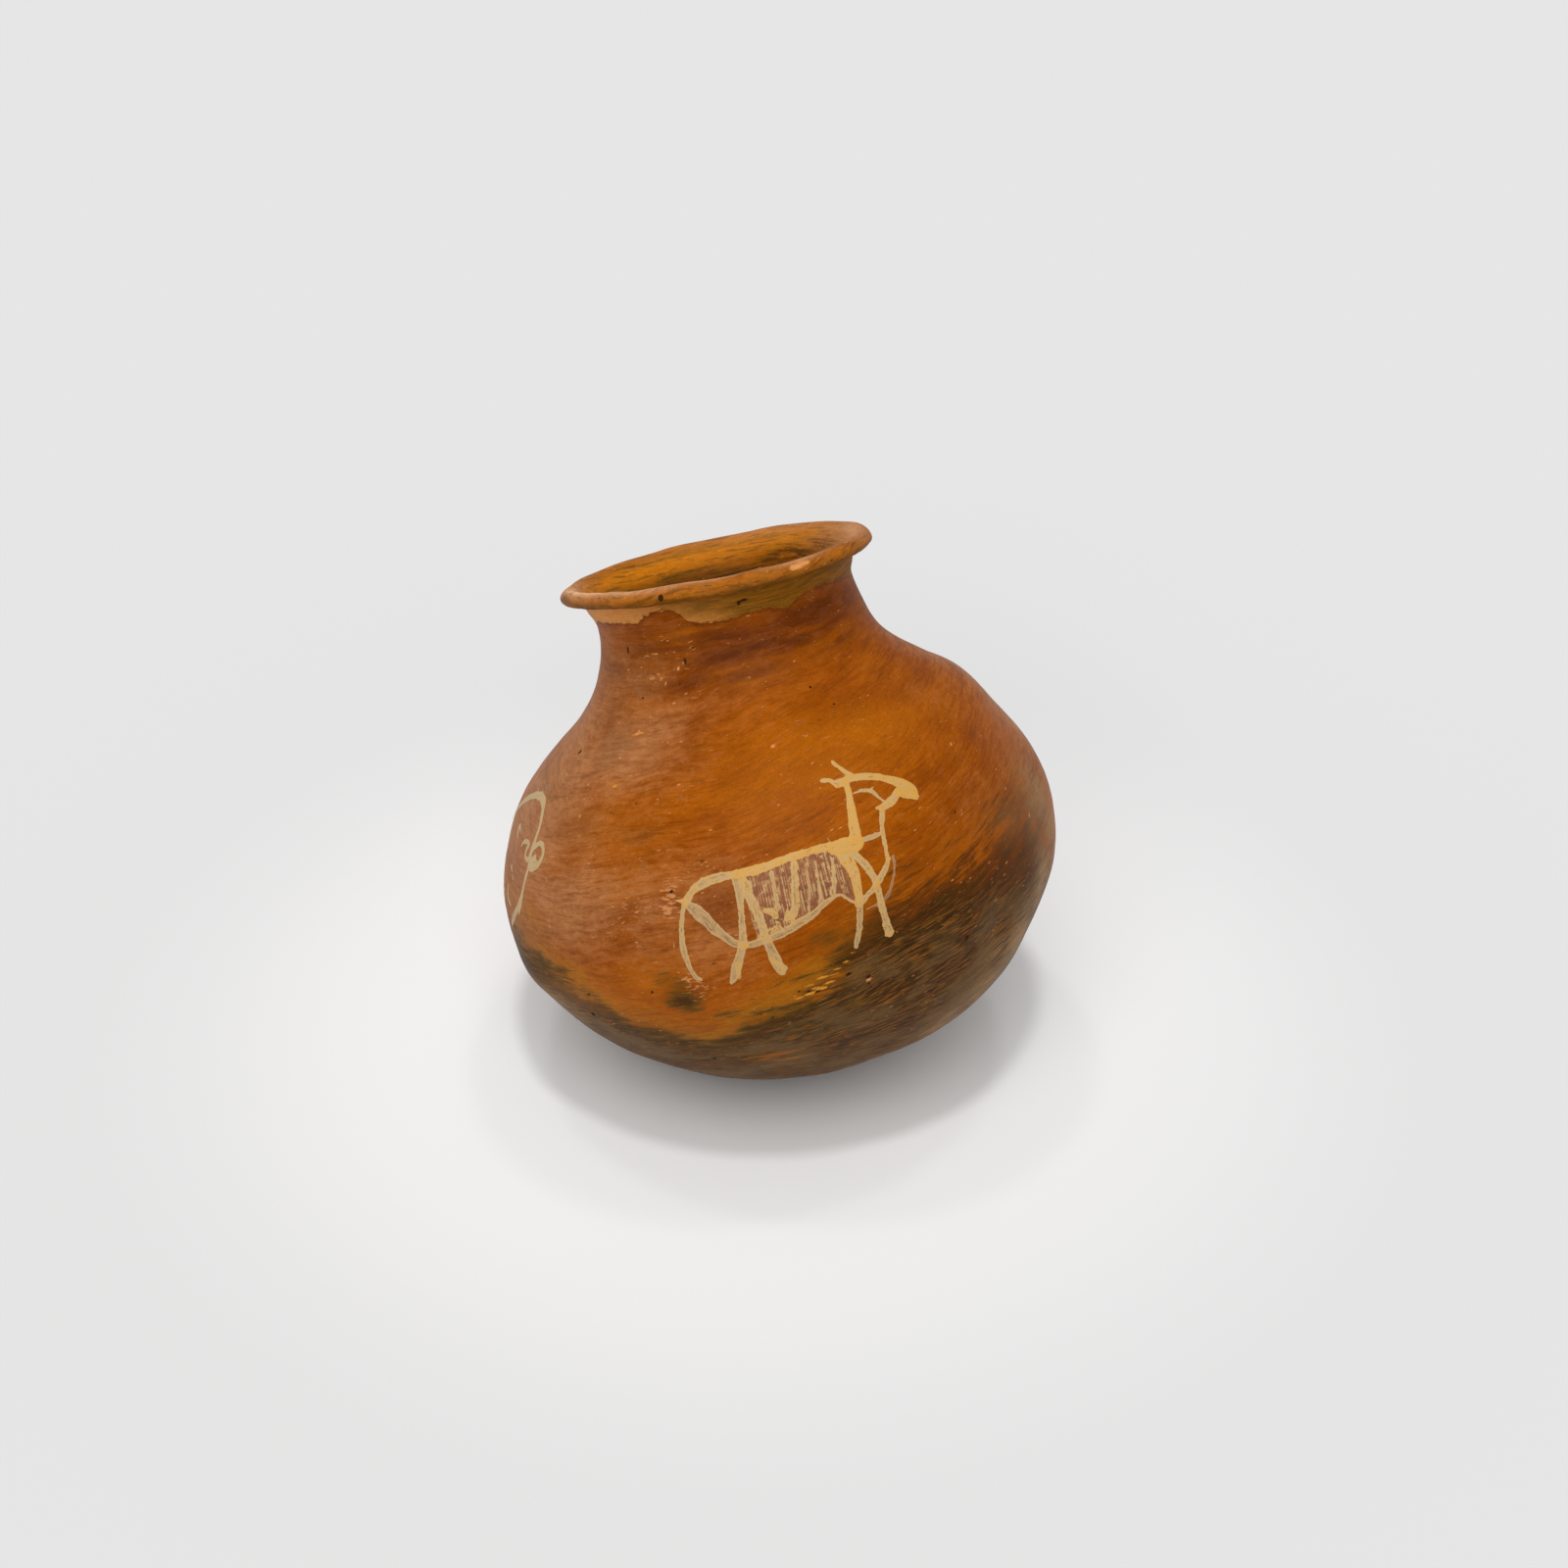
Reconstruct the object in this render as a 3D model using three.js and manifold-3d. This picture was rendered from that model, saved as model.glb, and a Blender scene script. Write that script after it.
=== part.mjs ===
// A hand-built terracotta water jug, leaning on the worn flat of its round base.
// Its clay was joined in courses: a pinched bowl, wall and neck coils, and a rolled lip.
// Two animals are painted on the wall in thick cream slip.
// The jug is drawn upright, as a section of radius and height, then turned, leaned and set down.
import * as THREE from "three";
import { mergeVertices } from "three/addons/utils/BufferGeometryUtils.js";
import Module from "manifold-3d";

const wasm = await Module();
wasm.setup();
const { degToRad, lerp, clamp } = THREE.MathUtils;

// Driving dimensions of the section, in millimetres and degrees. Heights start at the base's pole.
const bellyDiameter = 230;
const bellyHeight = 92;
const bowlFullness = 1.85; // power of the bowl's curve: 2 is an ellipse, and less is leaner
const shoulderRise = 89.5; // upright half-axis of the ellipse that the shoulder follows
const shoulderTurn = 47.5; // how far round that ellipse the shoulder goes
const neckDiameter = 105; // outside, at the narrowest
const neckHeight = 42; // from the end of the shoulder up to the narrowest
const lipOverhang = 11.5; // how far the lip stands out past the neck
const lipHeight = 18; // from the narrowest up to the top of the lip
const lipThickness = 6;
const lipFlare = 62; // how far the lip opens away from the jug's axis
const wallThickness = 6.5;
const baseThickness = 9; // at the pole, thinning to the wall's at the belly

// Courses of clay, measured along the outside of the section.
const bowlReach = 104;
const wallCoilWidth = 27;
const neckCoilWidth = 25;
const seamGap = 0.3;

// How the jug stands: its axis leans, it is turned about it, and its base is worn flat.
const lean = 23.7;
const leanHeading = 121.6; // seen from above, anticlockwise from +X
const frontTurn = 5.1;
const restDepth = 2.4;

// Slip paint.
const paintThickness = 0.5;
const paintGap = 0.3;
const tipShare = 0.55; // a stroke's width at its very ends, beside its full width
const figureSpan = 100; // on the wall, for a hundred units of the figures' points and widths
const drawingUnit = figureSpan / 100;

// Fineness of the curved surfaces.
const roundSegments = 48;
const bodyStep = 13;
const neckStep = 8;
const lipSteps = 5;
const strokeStep = 5.5;
const outlineSamples = 600;

// Painted strokes. Points are drawing units along the wall's girth from the figure's azimuth, and
// drawing units up from the belly's widest line. A width is given for each end of the stroke.
const frontFigure = {
  azimuth: 0,
  strokes: {
    upperHorn: { width: [2.6, 3.6], points: [[34.5, 52], [40.5, 45.5]] },
    lowerHorn: { width: [2.4, 3.6], points: [[25, 48], [32, 44.5], [38, 45]] },
    brow: { width: [3.6, 4.4], points: [[36, 45], [44, 46], [52, 43.5], [59, 39], [65, 33]] },
    muzzle: { width: [4.6, 4.6], points: [[56.5, 36.5], [64.5, 33]] },
    jaw: { width: [3.2, 2.6], points: [[58, 36], [52, 34.5], [45, 31.5]] },
    nape: { width: [3.6, 6], points: [[37, 46], [35, 37], [33, 29], [30.5, 22.5]] },
    throat: { width: [3.2, 2.6], points: [[47, 33.5], [43.5, 25], [41.5, 17], [42, 12]] },
    collar: { width: [2.2, 2.2], points: [[31, 23.5], [43, 24]] },
    back: { width: [4.4, 4.2], points: [[31, 23.5], [20, 25], [6, 24.5], [-8, 23], [-20, 22.5]] },
    rump: { width: [4.2, 3.6], points: [[-18, 22.5], [-29, 23], [-37, 19], [-41, 13]] },
    tail: { width: [3.2, 2.4], points: [[-41, 15], [-43, 6], [-44.5, -5], [-42, -16]] },
    haunch: { width: [6, 3.2], points: [[-39, 14], [-33, 6.5], [-26, -2.5], [-17, -5]] },
    belly: { width: [3.2, 2.2], points: [[-17, -5], [-6, -3.5], [5, 0.5], [17, 6], [25, 2]] },
    hindLeg: { width: [5, 3.4], points: [[-19, 22], [-17.5, 12], [-20, -3], [-29, -19]] },
    farHindLeg: { width: [3.6, 4], points: [[-17, 20], [-13, 6], [-11, -8], [-8, -18.5]] },
    foreleg: { width: [5.4, 2.6], points: [[24, 23.5], [27.5, 13], [26.5, 0], [21, -16]] },
    farForeleg: { width: [4, 3.6], points: [[29, 22], [33.5, 12], [35, 0], [36.5, -15]] },
    chest: { width: [2.6, 3], points: [[42, 14], [35.5, 8], [26, 1]] },
    rearStripe: { width: [2.2, 2.4], points: [[-13, 22], [-10.5, 8], [-11, -3]] },
    middleStripe: { width: [2.4, 2.8], points: [[1, 24], [2, 11], [1, 0]] },
    foreStripe: { width: [1.8, 1.8], points: [[11, 24.5], [13, 14], [13.5, 5]] },
  },
};
const sideFigure = {
  azimuth: -73,
  strokes: {
    horn: { width: [3.4, 2.4], points: [[12, 33], [16.5, 42], [10, 51], [-6, 52], [-20, 46], [-23, 37]] },
    muzzle: { width: [3, 2.6], points: [[12, 33.5], [22, 36.5], [29.5, 32], [24, 26.5], [11, 26]] },
    nape: { width: [3.4, 3], points: [[13.5, 32], [0, 37], [-18, 40]] },
    back: { width: [3, 3.6], points: [[-17, 40], [-36, 38.5], [-56, 37], [-70, 33]] },
    tail: { width: [3.2, 2.2], points: [[-69, 34], [-79, 26], [-83, 10], [-82, -8]] },
    throat: { width: [3, 3], points: [[12.5, 34], [11.5, 25], [8, 17]] },
    foreleg: { width: [3.4, 2.4], points: [[8.5, 18], [2, 9], [-13, -1]] },
    farForeleg: { width: [3, 2.4], points: [[-12, 40], [-14, 24], [-10, 12], [-17, -4]] },
    belly: { width: [2.4, 3], points: [[9, 18], [-12, 17], [-34, 12], [-54, 13], [-71, 21]] },
    hindLeg: { width: [4.4, 3], points: [[-59, 36], [-61, 18], [-58, 2], [-65, -14]] },
    farHindLeg: { width: [4, 2.8], points: [[-70, 33], [-72, 16], [-71, -2], [-77, -15]] },
    rearStripe: { width: [2, 2], points: [[-47, 37], [-46, 13]] },
    middleStripe: { width: [2.4, 2.4], points: [[-36, 38], [-35, 13]] },
    foreStripe: { width: [2, 2], points: [[-25, 39], [-24, 14]] },
  },
};

const burnishedClay = { color: 0x9c5426, roughness: 0.5, metalness: 0 };
const lipClay = { color: 0xb8743a, roughness: 0.6, metalness: 0 };
const creamSlip = { color: 0xd2b574, roughness: 0.7, metalness: 0 };

// The bowl's part of the section, from the pole to the belly.
class BowlCurve extends THREE.Curve {
  getPoint(share, target = new THREE.Vector2()) {
    const angle = (share * Math.PI) / 2;
    const across = Math.sin(angle) ** (2 / bowlFullness);
    const down = Math.cos(angle) ** (2 / bowlFullness);
    return target.set((bellyDiameter / 2) * across, bellyHeight * (1 - down));
  }
}

// The curve that leaves one point in a direction and reaches another along the lip's slope.
function sweepTo(from, radius, to, slope) {
  const corner = from.clone().addScaledVector(slope, (radius - from.x) / slope.x);
  return new THREE.QuadraticBezierCurve(from, corner, to);
}

// The outside of the jug from the pole to the underside of the lip, as radius and height.
function outsideSection() {
  const bowl = new BowlCurve();
  const shoulder = new THREE.EllipseCurve(
    0, bellyHeight, bellyDiameter / 2, shoulderRise, 0, degToRad(shoulderTurn));
  const shoulderEnd = shoulder.getPoint(1);
  const heading = shoulder.getTangent(1);
  const waist = new THREE.Vector2(neckDiameter / 2, shoulderEnd.y + neckHeight);
  const sweep = neckHeight / 3;
  const neck = new THREE.CubicBezierCurve(
    shoulderEnd,
    shoulderEnd.clone().addScaledVector(heading, sweep / heading.y),
    new THREE.Vector2(waist.x, waist.y - sweep),
    waist);

  const lipCentre = new THREE.Vector2(
    waist.x + lipOverhang - lipThickness / 2, waist.y + lipHeight - lipThickness / 2);
  const slope = new THREE.Vector2(Math.sin(degToRad(lipFlare)), Math.cos(degToRad(lipFlare)));
  const rise = new THREE.Vector2(-slope.y, slope.x);
  const underLip = lipCentre.clone().addScaledVector(rise, -lipThickness / 2);
  const flare = sweepTo(underLip, waist.x, waist, slope);
  const upFlare = new THREE.QuadraticBezierCurve(flare.v2, flare.v1, flare.v0);

  const path = new THREE.CurvePath();
  path.curves.push(bowl, shoulder, neck, upFlare);
  const [, wallEnd, neckEnd, length] = path.getCurveLengths();
  return { path, wallEnd, neckEnd, length, waist, lipCentre, slope, rise };
}
const outside = outsideSection();
const outsideSamples = outside.path.getSpacedPoints(outlineSamples);

// The outer face of the wall at a distance from the pole, and the inner face square to it.
const shareOf = (length) => Math.min(length / outside.length, 1);
const outerPoint = (length) => outside.path.getPointAt(shareOf(length));
function innerPoint(length) {
  const point = outerPoint(length);
  const heading = outside.path.getTangentAt(shareOf(length));
  const depth = Math.max(0, 1 - point.y / bellyHeight);
  const thickness = lerp(wallThickness, baseThickness, depth ** 2);
  return new THREE.Vector2(
    Math.max(0, point.x - heading.y * thickness), point.y + heading.x * thickness);
}

// The outside radius at a height above the pole.
function outsideRadiusAt(height) {
  const next = Math.max(1, outsideSamples.findIndex((point) => point.y >= height));
  const [below, above] = outsideSamples.slice(next - 1, next + 1);
  return lerp(below.x, above.x, (height - below.y) / (above.y - below.y));
}

// Where the pole lies when the leaned jug's lowest point is worn down to the floor at the origin.
function polePlace() {
  const angle = degToRad(lean);
  const dropOf = (point) => point.x * Math.sin(angle) - point.y * Math.cos(angle);
  const lowest = outsideSamples.reduce((a, b) => (dropOf(b) > dropOf(a) ? b : a));
  const along = lowest.y * Math.sin(angle) + lowest.x * Math.cos(angle);
  return new THREE.Vector3(
    -along * Math.cos(degToRad(leanHeading)),
    -along * Math.sin(degToRad(leanHeading)),
    dropOf(lowest) - restDepth);
}

// The jug's own frame: turned, then its Y axis stood up and leaned over the worn flat.
const jug = new THREE.Group();
const leanAxis = new THREE.Vector3(
  -Math.sin(degToRad(leanHeading)), Math.cos(degToRad(leanHeading)), 0);
jug.rotateOnWorldAxis(new THREE.Vector3(0, 1, 0), degToRad(frontTurn));
jug.rotateOnWorldAxis(new THREE.Vector3(1, 0, 0), Math.PI / 2);
jug.rotateOnWorldAxis(leanAxis, degToRad(lean));
jug.position.copy(polePlace());
jug.updateMatrix();

// A closed geometry as a solid that can be joined and cut, and a solid as a geometry.
function solidOf(geometry) {
  const bare = geometry.clone();
  bare.deleteAttribute("normal");
  bare.deleteAttribute("uv");
  const merged = mergeVertices(bare, 1e-4);
  return new wasm.Manifold(new wasm.Mesh({
    numProp: 3,
    vertProperties: new Float32Array(merged.attributes.position.array),
    triVerts: new Uint32Array(merged.index.array),
  }));
}
function geometryOf(solid) {
  const mesh = solid.getMesh();
  const geometry = new THREE.BufferGeometry();
  geometry.setAttribute("position", new THREE.BufferAttribute(mesh.vertProperties, 3));
  geometry.setIndex(new THREE.BufferAttribute(mesh.triVerts, 1));
  return geometry;
}

function addPiece(name, solid, finish) {
  const mesh = new THREE.Mesh(geometryOf(solid), new THREE.MeshStandardMaterial(finish));
  mesh.name = name;
  jug.add(mesh);
}

// The space under the floor, in the jug's own frame.
function spaceUnderFloor() {
  const size = 4 * bellyDiameter;
  const block = new THREE.BoxGeometry(size, size, size);
  block.translate(0, 0, -size / 2);
  block.applyMatrix4(jug.matrix.clone().invert());
  return solidOf(block);
}
const underFloor = spaceUnderFloor();

// A piece of clay thrown round the jug's axis from its section, and worn off at the floor.
function addClay(name, section, finish = burnishedClay) {
  const round = new THREE.LatheGeometry(section, roundSegments);
  addPiece(name, solidOf(round).subtract(underFloor), finish);
}

// The wall's section between two distances from the pole, outer face first.
function wallSection(from, to, step) {
  const count = Math.max(1, Math.round((to - from) / step));
  const stations = Array.from({ length: count + 1 }, (_, i) => lerp(from, to, i / count));
  return [...stations.map(outerPoint), ...stations.reverse().map(innerPoint)];
}

// A stretch of wall built up in equal coils, as many as it takes.
function addCoils(name, start, end, coilWidth, step) {
  const count = Math.max(1, Math.round((end - start) / coilWidth));
  for (let i = 0; i < count; i++) {
    const from = lerp(start, end, i / count) + seamGap / 2;
    const to = lerp(start, end, (i + 1) / count) - seamGap / 2;
    const section = wallSection(from, to, step);
    addClay(`${name}_${i + 1}`, [...section, section[0]]);
  }
}

// The lip: the flare's underside, a half-round edge, and the mouth's face down to the neck.
function addLip() {
  const { neckEnd, length, waist, lipCentre, slope, rise } = outside;
  const start = neckEnd + seamGap / 2;
  const under = Array.from(
    { length: lipSteps + 1 }, (_, i) => outerPoint(lerp(start, length, i / lipSteps)));
  const slopeAngle = Math.atan2(slope.y, slope.x);
  const edge = new THREE.EllipseCurve(
    lipCentre.x, lipCentre.y, lipThickness / 2, lipThickness / 2,
    slopeAngle - Math.PI / 2, slopeAngle + Math.PI / 2);
  const upper = lipCentre.clone().addScaledVector(rise, lipThickness / 2);
  const throat = innerPoint(start);
  const mouth = sweepTo(upper, throat.x, throat, slope);
  const section = [
    ...under, ...edge.getPoints(lipSteps).slice(1), ...mouth.getPoints(lipSteps).slice(1)];
  addClay("rolled_lip", [...section, section[0]], lipClay);
}

// One brush stroke: a thin bar bent along a smooth line through the stroke's points and round
// the wall, and held off the wall by the paint's gap. Its ends are drawn in, as a brush's are.
function strokeSolid({ points, width }, azimuth) {
  const line = new THREE.SplineCurve(
    points.map(([x, y]) => new THREE.Vector2(x, y).multiplyScalar(drawingUnit)));
  const count = Math.max(2, Math.round(line.getLength() / strokeStep));
  const bar = new THREE.BoxGeometry(1, 1, paintThickness, count, 1, 1);
  const corners = bar.attributes.position;
  for (let i = 0; i < corners.count; i++) {
    const station = Math.round((corners.getX(i) + 0.5) * count);
    const share = station / count;
    const drawnIn = station === 0 || station === count ? tipShare : 1;
    const strokeWidth = lerp(width[0], width[1], share) * drawnIn * drawingUnit;
    const aside = corners.getY(i) * strokeWidth;
    const heading = line.getTangentAt(share);
    const point = line.getPointAt(share);
    const angle = azimuth + (point.x - heading.y * aside) / (bellyDiameter / 2);
    const height = bellyHeight + point.y + heading.x * aside;
    const radius = outsideRadiusAt(height) + paintGap + paintThickness / 2 + corners.getZ(i);
    corners.setXYZ(i, radius * Math.sin(angle), height, radius * Math.cos(angle));
  }
  return solidOf(bar);
}
function addFigure(name, { azimuth, strokes }) {
  const painted = Object.values(strokes)
    .map((stroke) => strokeSolid(stroke, degToRad(azimuth)))
    .reduce((figure, stroke) => figure.add(stroke));
  addPiece(name, painted, creamSlip);
}

addClay("base_bowl", wallSection(0, bowlReach - seamGap / 2, bodyStep));
addCoils("wall_coil", bowlReach, outside.wallEnd, wallCoilWidth, bodyStep);
addCoils("neck_coil", outside.wallEnd, outside.neckEnd, neckCoilWidth, neckStep);
addLip();
addFigure("painted_animal_front", frontFigure);
addFigure("painted_animal_left", sideFigure);

const part = new THREE.Group();
part.add(jug);

export default part;
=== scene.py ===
import itertools
import math

import bmesh
import bpy
import numpy as np
from bpy.props import FloatProperty, FloatVectorProperty, PointerProperty
from mathutils import Matrix, Vector


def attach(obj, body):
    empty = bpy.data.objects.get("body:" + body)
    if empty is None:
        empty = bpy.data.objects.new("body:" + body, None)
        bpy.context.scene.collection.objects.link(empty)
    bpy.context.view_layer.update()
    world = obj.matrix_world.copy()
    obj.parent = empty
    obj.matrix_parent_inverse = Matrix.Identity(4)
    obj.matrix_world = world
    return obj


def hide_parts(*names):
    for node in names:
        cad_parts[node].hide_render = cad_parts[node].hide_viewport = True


bl_info = {
    "name": "Terracotta Water Jug",
    "version": (1, 0, 0),
    "blender": (4, 5, 0),
    "location": "View3D > Sidebar > Jug",
    "description": "Builds a leaning water jug of burnished clay with two painted animals",
    "category": "Add Mesh",
}

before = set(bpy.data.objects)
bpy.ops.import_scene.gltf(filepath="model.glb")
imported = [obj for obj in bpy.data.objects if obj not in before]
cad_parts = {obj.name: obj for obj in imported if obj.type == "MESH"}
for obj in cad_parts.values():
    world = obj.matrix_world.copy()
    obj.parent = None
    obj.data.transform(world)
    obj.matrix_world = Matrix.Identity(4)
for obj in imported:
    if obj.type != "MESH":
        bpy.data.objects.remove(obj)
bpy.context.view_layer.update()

MM = 0.001

# Fineness of the clay: coarse steps of the spin, the cuts that each of its edges then gets, and
# the millimetres between places on the outside, on the lip and on the inside.
SPIN_STEPS = 144
CUTS = 4
OUTER_STEP = 5.5
LIP_STEP = 3.2
INNER_STEP = 15
SEAM_RISE = 1.5 * INNER_STEP  # an edge that reaches further along the section crosses the wall
CURVE_SAMPLES = 1500
NUDGE = 0.35  # millimetres to either side of a place where its slope is measured
POLE_RADIUS = 3  # nearer the axis a course keeps its own shading
WORN = 0.25 * MM  # half the height over which the base rounds into its worn flat

# The paint, in millimetres.
PAINT_STEP = 0.3  # of the grid that strokes are laid on
STROKE_SPACING = 0.8  # between the points of a stroke's line
STROKE_TRIM = 0.16  # taken off each side of a stroke
THINNEST_STROKE = 0.28
STROKE_MARGIN = 1.5  # room round a stroke for its ragged edge
STROKE_SHIFT = 7.3  # sets the bristle marks of one stroke apart from the last one's
SLIP_LIFT = 0.045  # how far even the thinnest slip stands on the wall
SLIP_ROOT = 0.3  # how far the sheet of slip reaches into the wall
THIN_SHARE = 0.3  # of a full stroke's thickness that an unloaded brush still leaves
UNDER_SHARE = 0.75  # of the load below that counts where strokes cross
RAGGED_WAVES = ((0.9, 1.6), (0.35, 0.6))  # shares of the raggedness, and their lengths
SWELL_SHARE, SWELL_LENGTH = 0.08, 3.2  # how a stroke's width swells along it
EDGE_ROUND = 0.3  # how far in from its edge a stroke rounds up to its full height
EDGE_RIDGE = (0.35, 0.25, 0.18)  # of slip pushed aside: how far in, half-width, share of height
RIM_PLACE = (0.35, 0.38)  # the paler rim: how far in, half-width
PILE_UP = 0.35  # share of the lower stroke that still shows in the height of a crossing
BARE = 9.0  # what the bare sheet holds as its distance from the paint
CROSS_SCRATCHES = 34  # fine strokes along the wash
BELLY_DABS = 46  # dabs low on the belly

# The lattice noise: a prime for each coordinate and for the seed, and rounds of mixing.
LATTICE_PRIMES = (73856093, 19349663, 83492791)
SEED_PRIME = 7919
HASH_ROUNDS = ((13, 1274126177), (16, 668265263))
HASH_MASK = 0xFFFFFFFF

# Unevenness of the wall: height, size of its cells in millimetres, seed. The heights of the
# lumps are shares of the lump height.
LUMPS = ((1, 34, 1), (0.45, 15, 2))
RIPPLES = ((0.1, (26, 26, 6.5), 3), (0.035, (19, 19, 2.6), 4), (0.018, (3, 3, 1.6), 5))

# Humps round the lip: how far past its lower edge (past the rim for LIP_RIDGE), half-width, rise.
LIP_RIDGE = (-0.4, 0.55, 0.32)
TORN_EDGE = (1.6, 1.7, 0.22)
LIP_BEAD = (1.8, 2.6, 0.9)
LIP_GROOVE = (-2, 1.1, 0.7)
NECK_TUCK = (-5, 3.4, 2.1)
CHIP_DEPTH = 0.7  # millimetres that a chip of full strength takes off
HOLLOW_MARGIN = 0.15  # added to a hollow's radii, so that the mesh can hold the small ones
SWAY_SPAN = (-12, 14)  # heights from the waist over which the lip's sway and rise set in

# How the burnishing climbs across the right flank: rise, azimuth, and the radius it starts at.
CLIMB = 34
CLIMB_AZIMUTH = 52
CLIMB_RADIUS = 50
BAND_LIMIT = 12  # how far from its edge the bare band under the lip is measured

# Edges round the girth, as azimuth in degrees and height in millimetres above the widest line.
# Azimuth 0 is the front, and it grows to the right.
FIRE_CLOUD_EDGE = (
    (-180, -46), (-150, -34), (-120, -8), (-95, 6), (-80, 4), (-70, 0), (-62, -5), (-55, -16),
    (-48, -22), (-43, -35), (-33, -40), (-27, -46), (-20, -43), (-12, -36), (-2, -30), (4, -20),
    (9, -9), (16, -3), (24, 0), (33, 7), (42, 9), (52, 12), (60, 10), (67, -2), (75, -20),
    (88, -22), (105, -6), (130, -24), (155, -40),
)
FIRE_CLOUD_SOFTNESS = (
    (-180, 20), (-120, 18), (-75, 15), (-55, 12), (-40, 9), (-20, 7), (4, 9), (12, 10), (24, 14),
    (40, 20), (55, 24), (75, 32), (120, 22),
)
LIP_RISE = (
    (-180, 0), (-130, 0.2), (-100, 0.8), (-80, 1.5), (-62, 2.2), (-45, 2.2), (-30, 1.6), (-12, 1),
    (5, 0.5), (25, 0), (140, 0),
)
FLUSH_SHARE = (
    (-180, 0.2), (-110, 0.5), (-78, 0.8), (-60, 1), (2, 1), (12, 0.5), (24, 0.1), (60, 0),
    (120, 0.1),
)
BAND_EDGE = (
    (-180, 110), (-150, 108), (-120, 112), (-90, 110), (-70, 112.6), (-53, 112.6), (-41, 112.4),
    (-38.5, 112.6), (-37.2, 113.6), (-35, 115.4), (-31, 116), (-24.4, 116.2), (-21, 115.6),
    (-18.6, 113.6), (-17, 111.2), (-15.6, 109.9), (-6, 109), (-1, 108.9), (5.8, 109.5),
    (10.3, 110), (16, 109.3), (21.5, 109), (27.2, 107.6), (29.5, 108.9), (34.6, 111.4),
    (43.8, 112.6), (58.2, 111.6), (74, 110), (110, 111), (135, 106), (160, 109),
)

# Marks on the outside: azimuth, height, half-length along the girth, half-height, strength.
SOOT_SPOTS = (
    (-28.2, -14.5, 11, 6, 0.72), (-26, -25.5, 10, 8, 1.2), (-25.6, -19, 8, 7, 0.8),
    (-28.5, 32, 4.5, 3.5, 0.5), (-27, 43, 9, 3.5, 0.3), (47.9, -21.5, 6.5, 3.5, 1),
    (-62, -7, 8, 6.5, 0.7), (-56, -13, 10, 7, 0.75), (-49, -20, 9, 5, 0.6), (56, 13, 32, 14, 0.74),
    (46.7, 38, 9, 7, 0.5), (66, 2, 26, 16, 0.75), (14, -6, 12, 5, 0.4), (30, 2, 14, 5, 0.5),
    (48, 40, 12, 5, 0.4), (26, 34, 9, 4, 0.25), (24, 9, 14, 7, 0.68), (6, -8, 11, 6, 0.72),
    (-1, -22, 18, 3.5, 0.7), (-18, -34, 9, 4, 0.62), (118, 28, 28, 12, 0.6),
    (-142, 6, 36, 15, 0.75), (168, -14, 36, 15, 0.72),
)
PLUM_SPOTS = (
    (-6, 99, 24, 8.5, 1.3), (17, 96, 28, 10, 1.2), (-30, 102, 24, 8, 0.8), (40, 101, 28, 9, 1.3),
    (44, 91, 22, 7, 0.7), (3, 88, 24, 7, 0.9), (-20, 89, 24, 6, 0.8), (-45, 95, 20, 4, 0.7),
    (-36, 104, 20, 4, 0.7), (-13.5, 11, 12, 10, 0.75), (-31, 4, 18, 10, 0.25),
    (55, 100, 18, 6, 0.5), (150, 97, 60, 9, 0.8), (-130, 99, 50, 8, 0.7), (95, 96, 30, 8, 0.6),
    (-46, 45, 14, 9, 0.35),
)
# Pale spots, dust and painted sheen: those from the front round the left side and at the belly's
# right edge paint the pale sheen of glancing light; those round the back are dust.
DUST_AND_SHEEN_SPOTS = (
    (-72, 50, 56, 70, 1.1), (90, 40, 26, 60, 0.9), (-60, 2, 26, 20, 0.6), (-26, 14, 44, 24, 0.6),
    (-50, 92, 30, 16, 0.7), (-43, 67, 38, 24, 0.95), (78, -16, 16, 26, 1), (-16, -1, 22, 17, 0.6),
    (-50, 16, 42, 22, 1), (56, 62, 14, 8, 0.3), (150, 60, 60, 40, 0.5), (-140, 70, 40, 30, 0.6),
    (46, 24, 26, 14, 0.25),
)
# The first spot, on the left just under the lip, is partly paler clay and partly painted light on
# the side that faces the light.
PALE_SPOTS = ((-62, 117, 42, 26, 1), (-20, 110, 24, 6, 0.55), (150, 116, 60, 20, 0.7))
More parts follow.
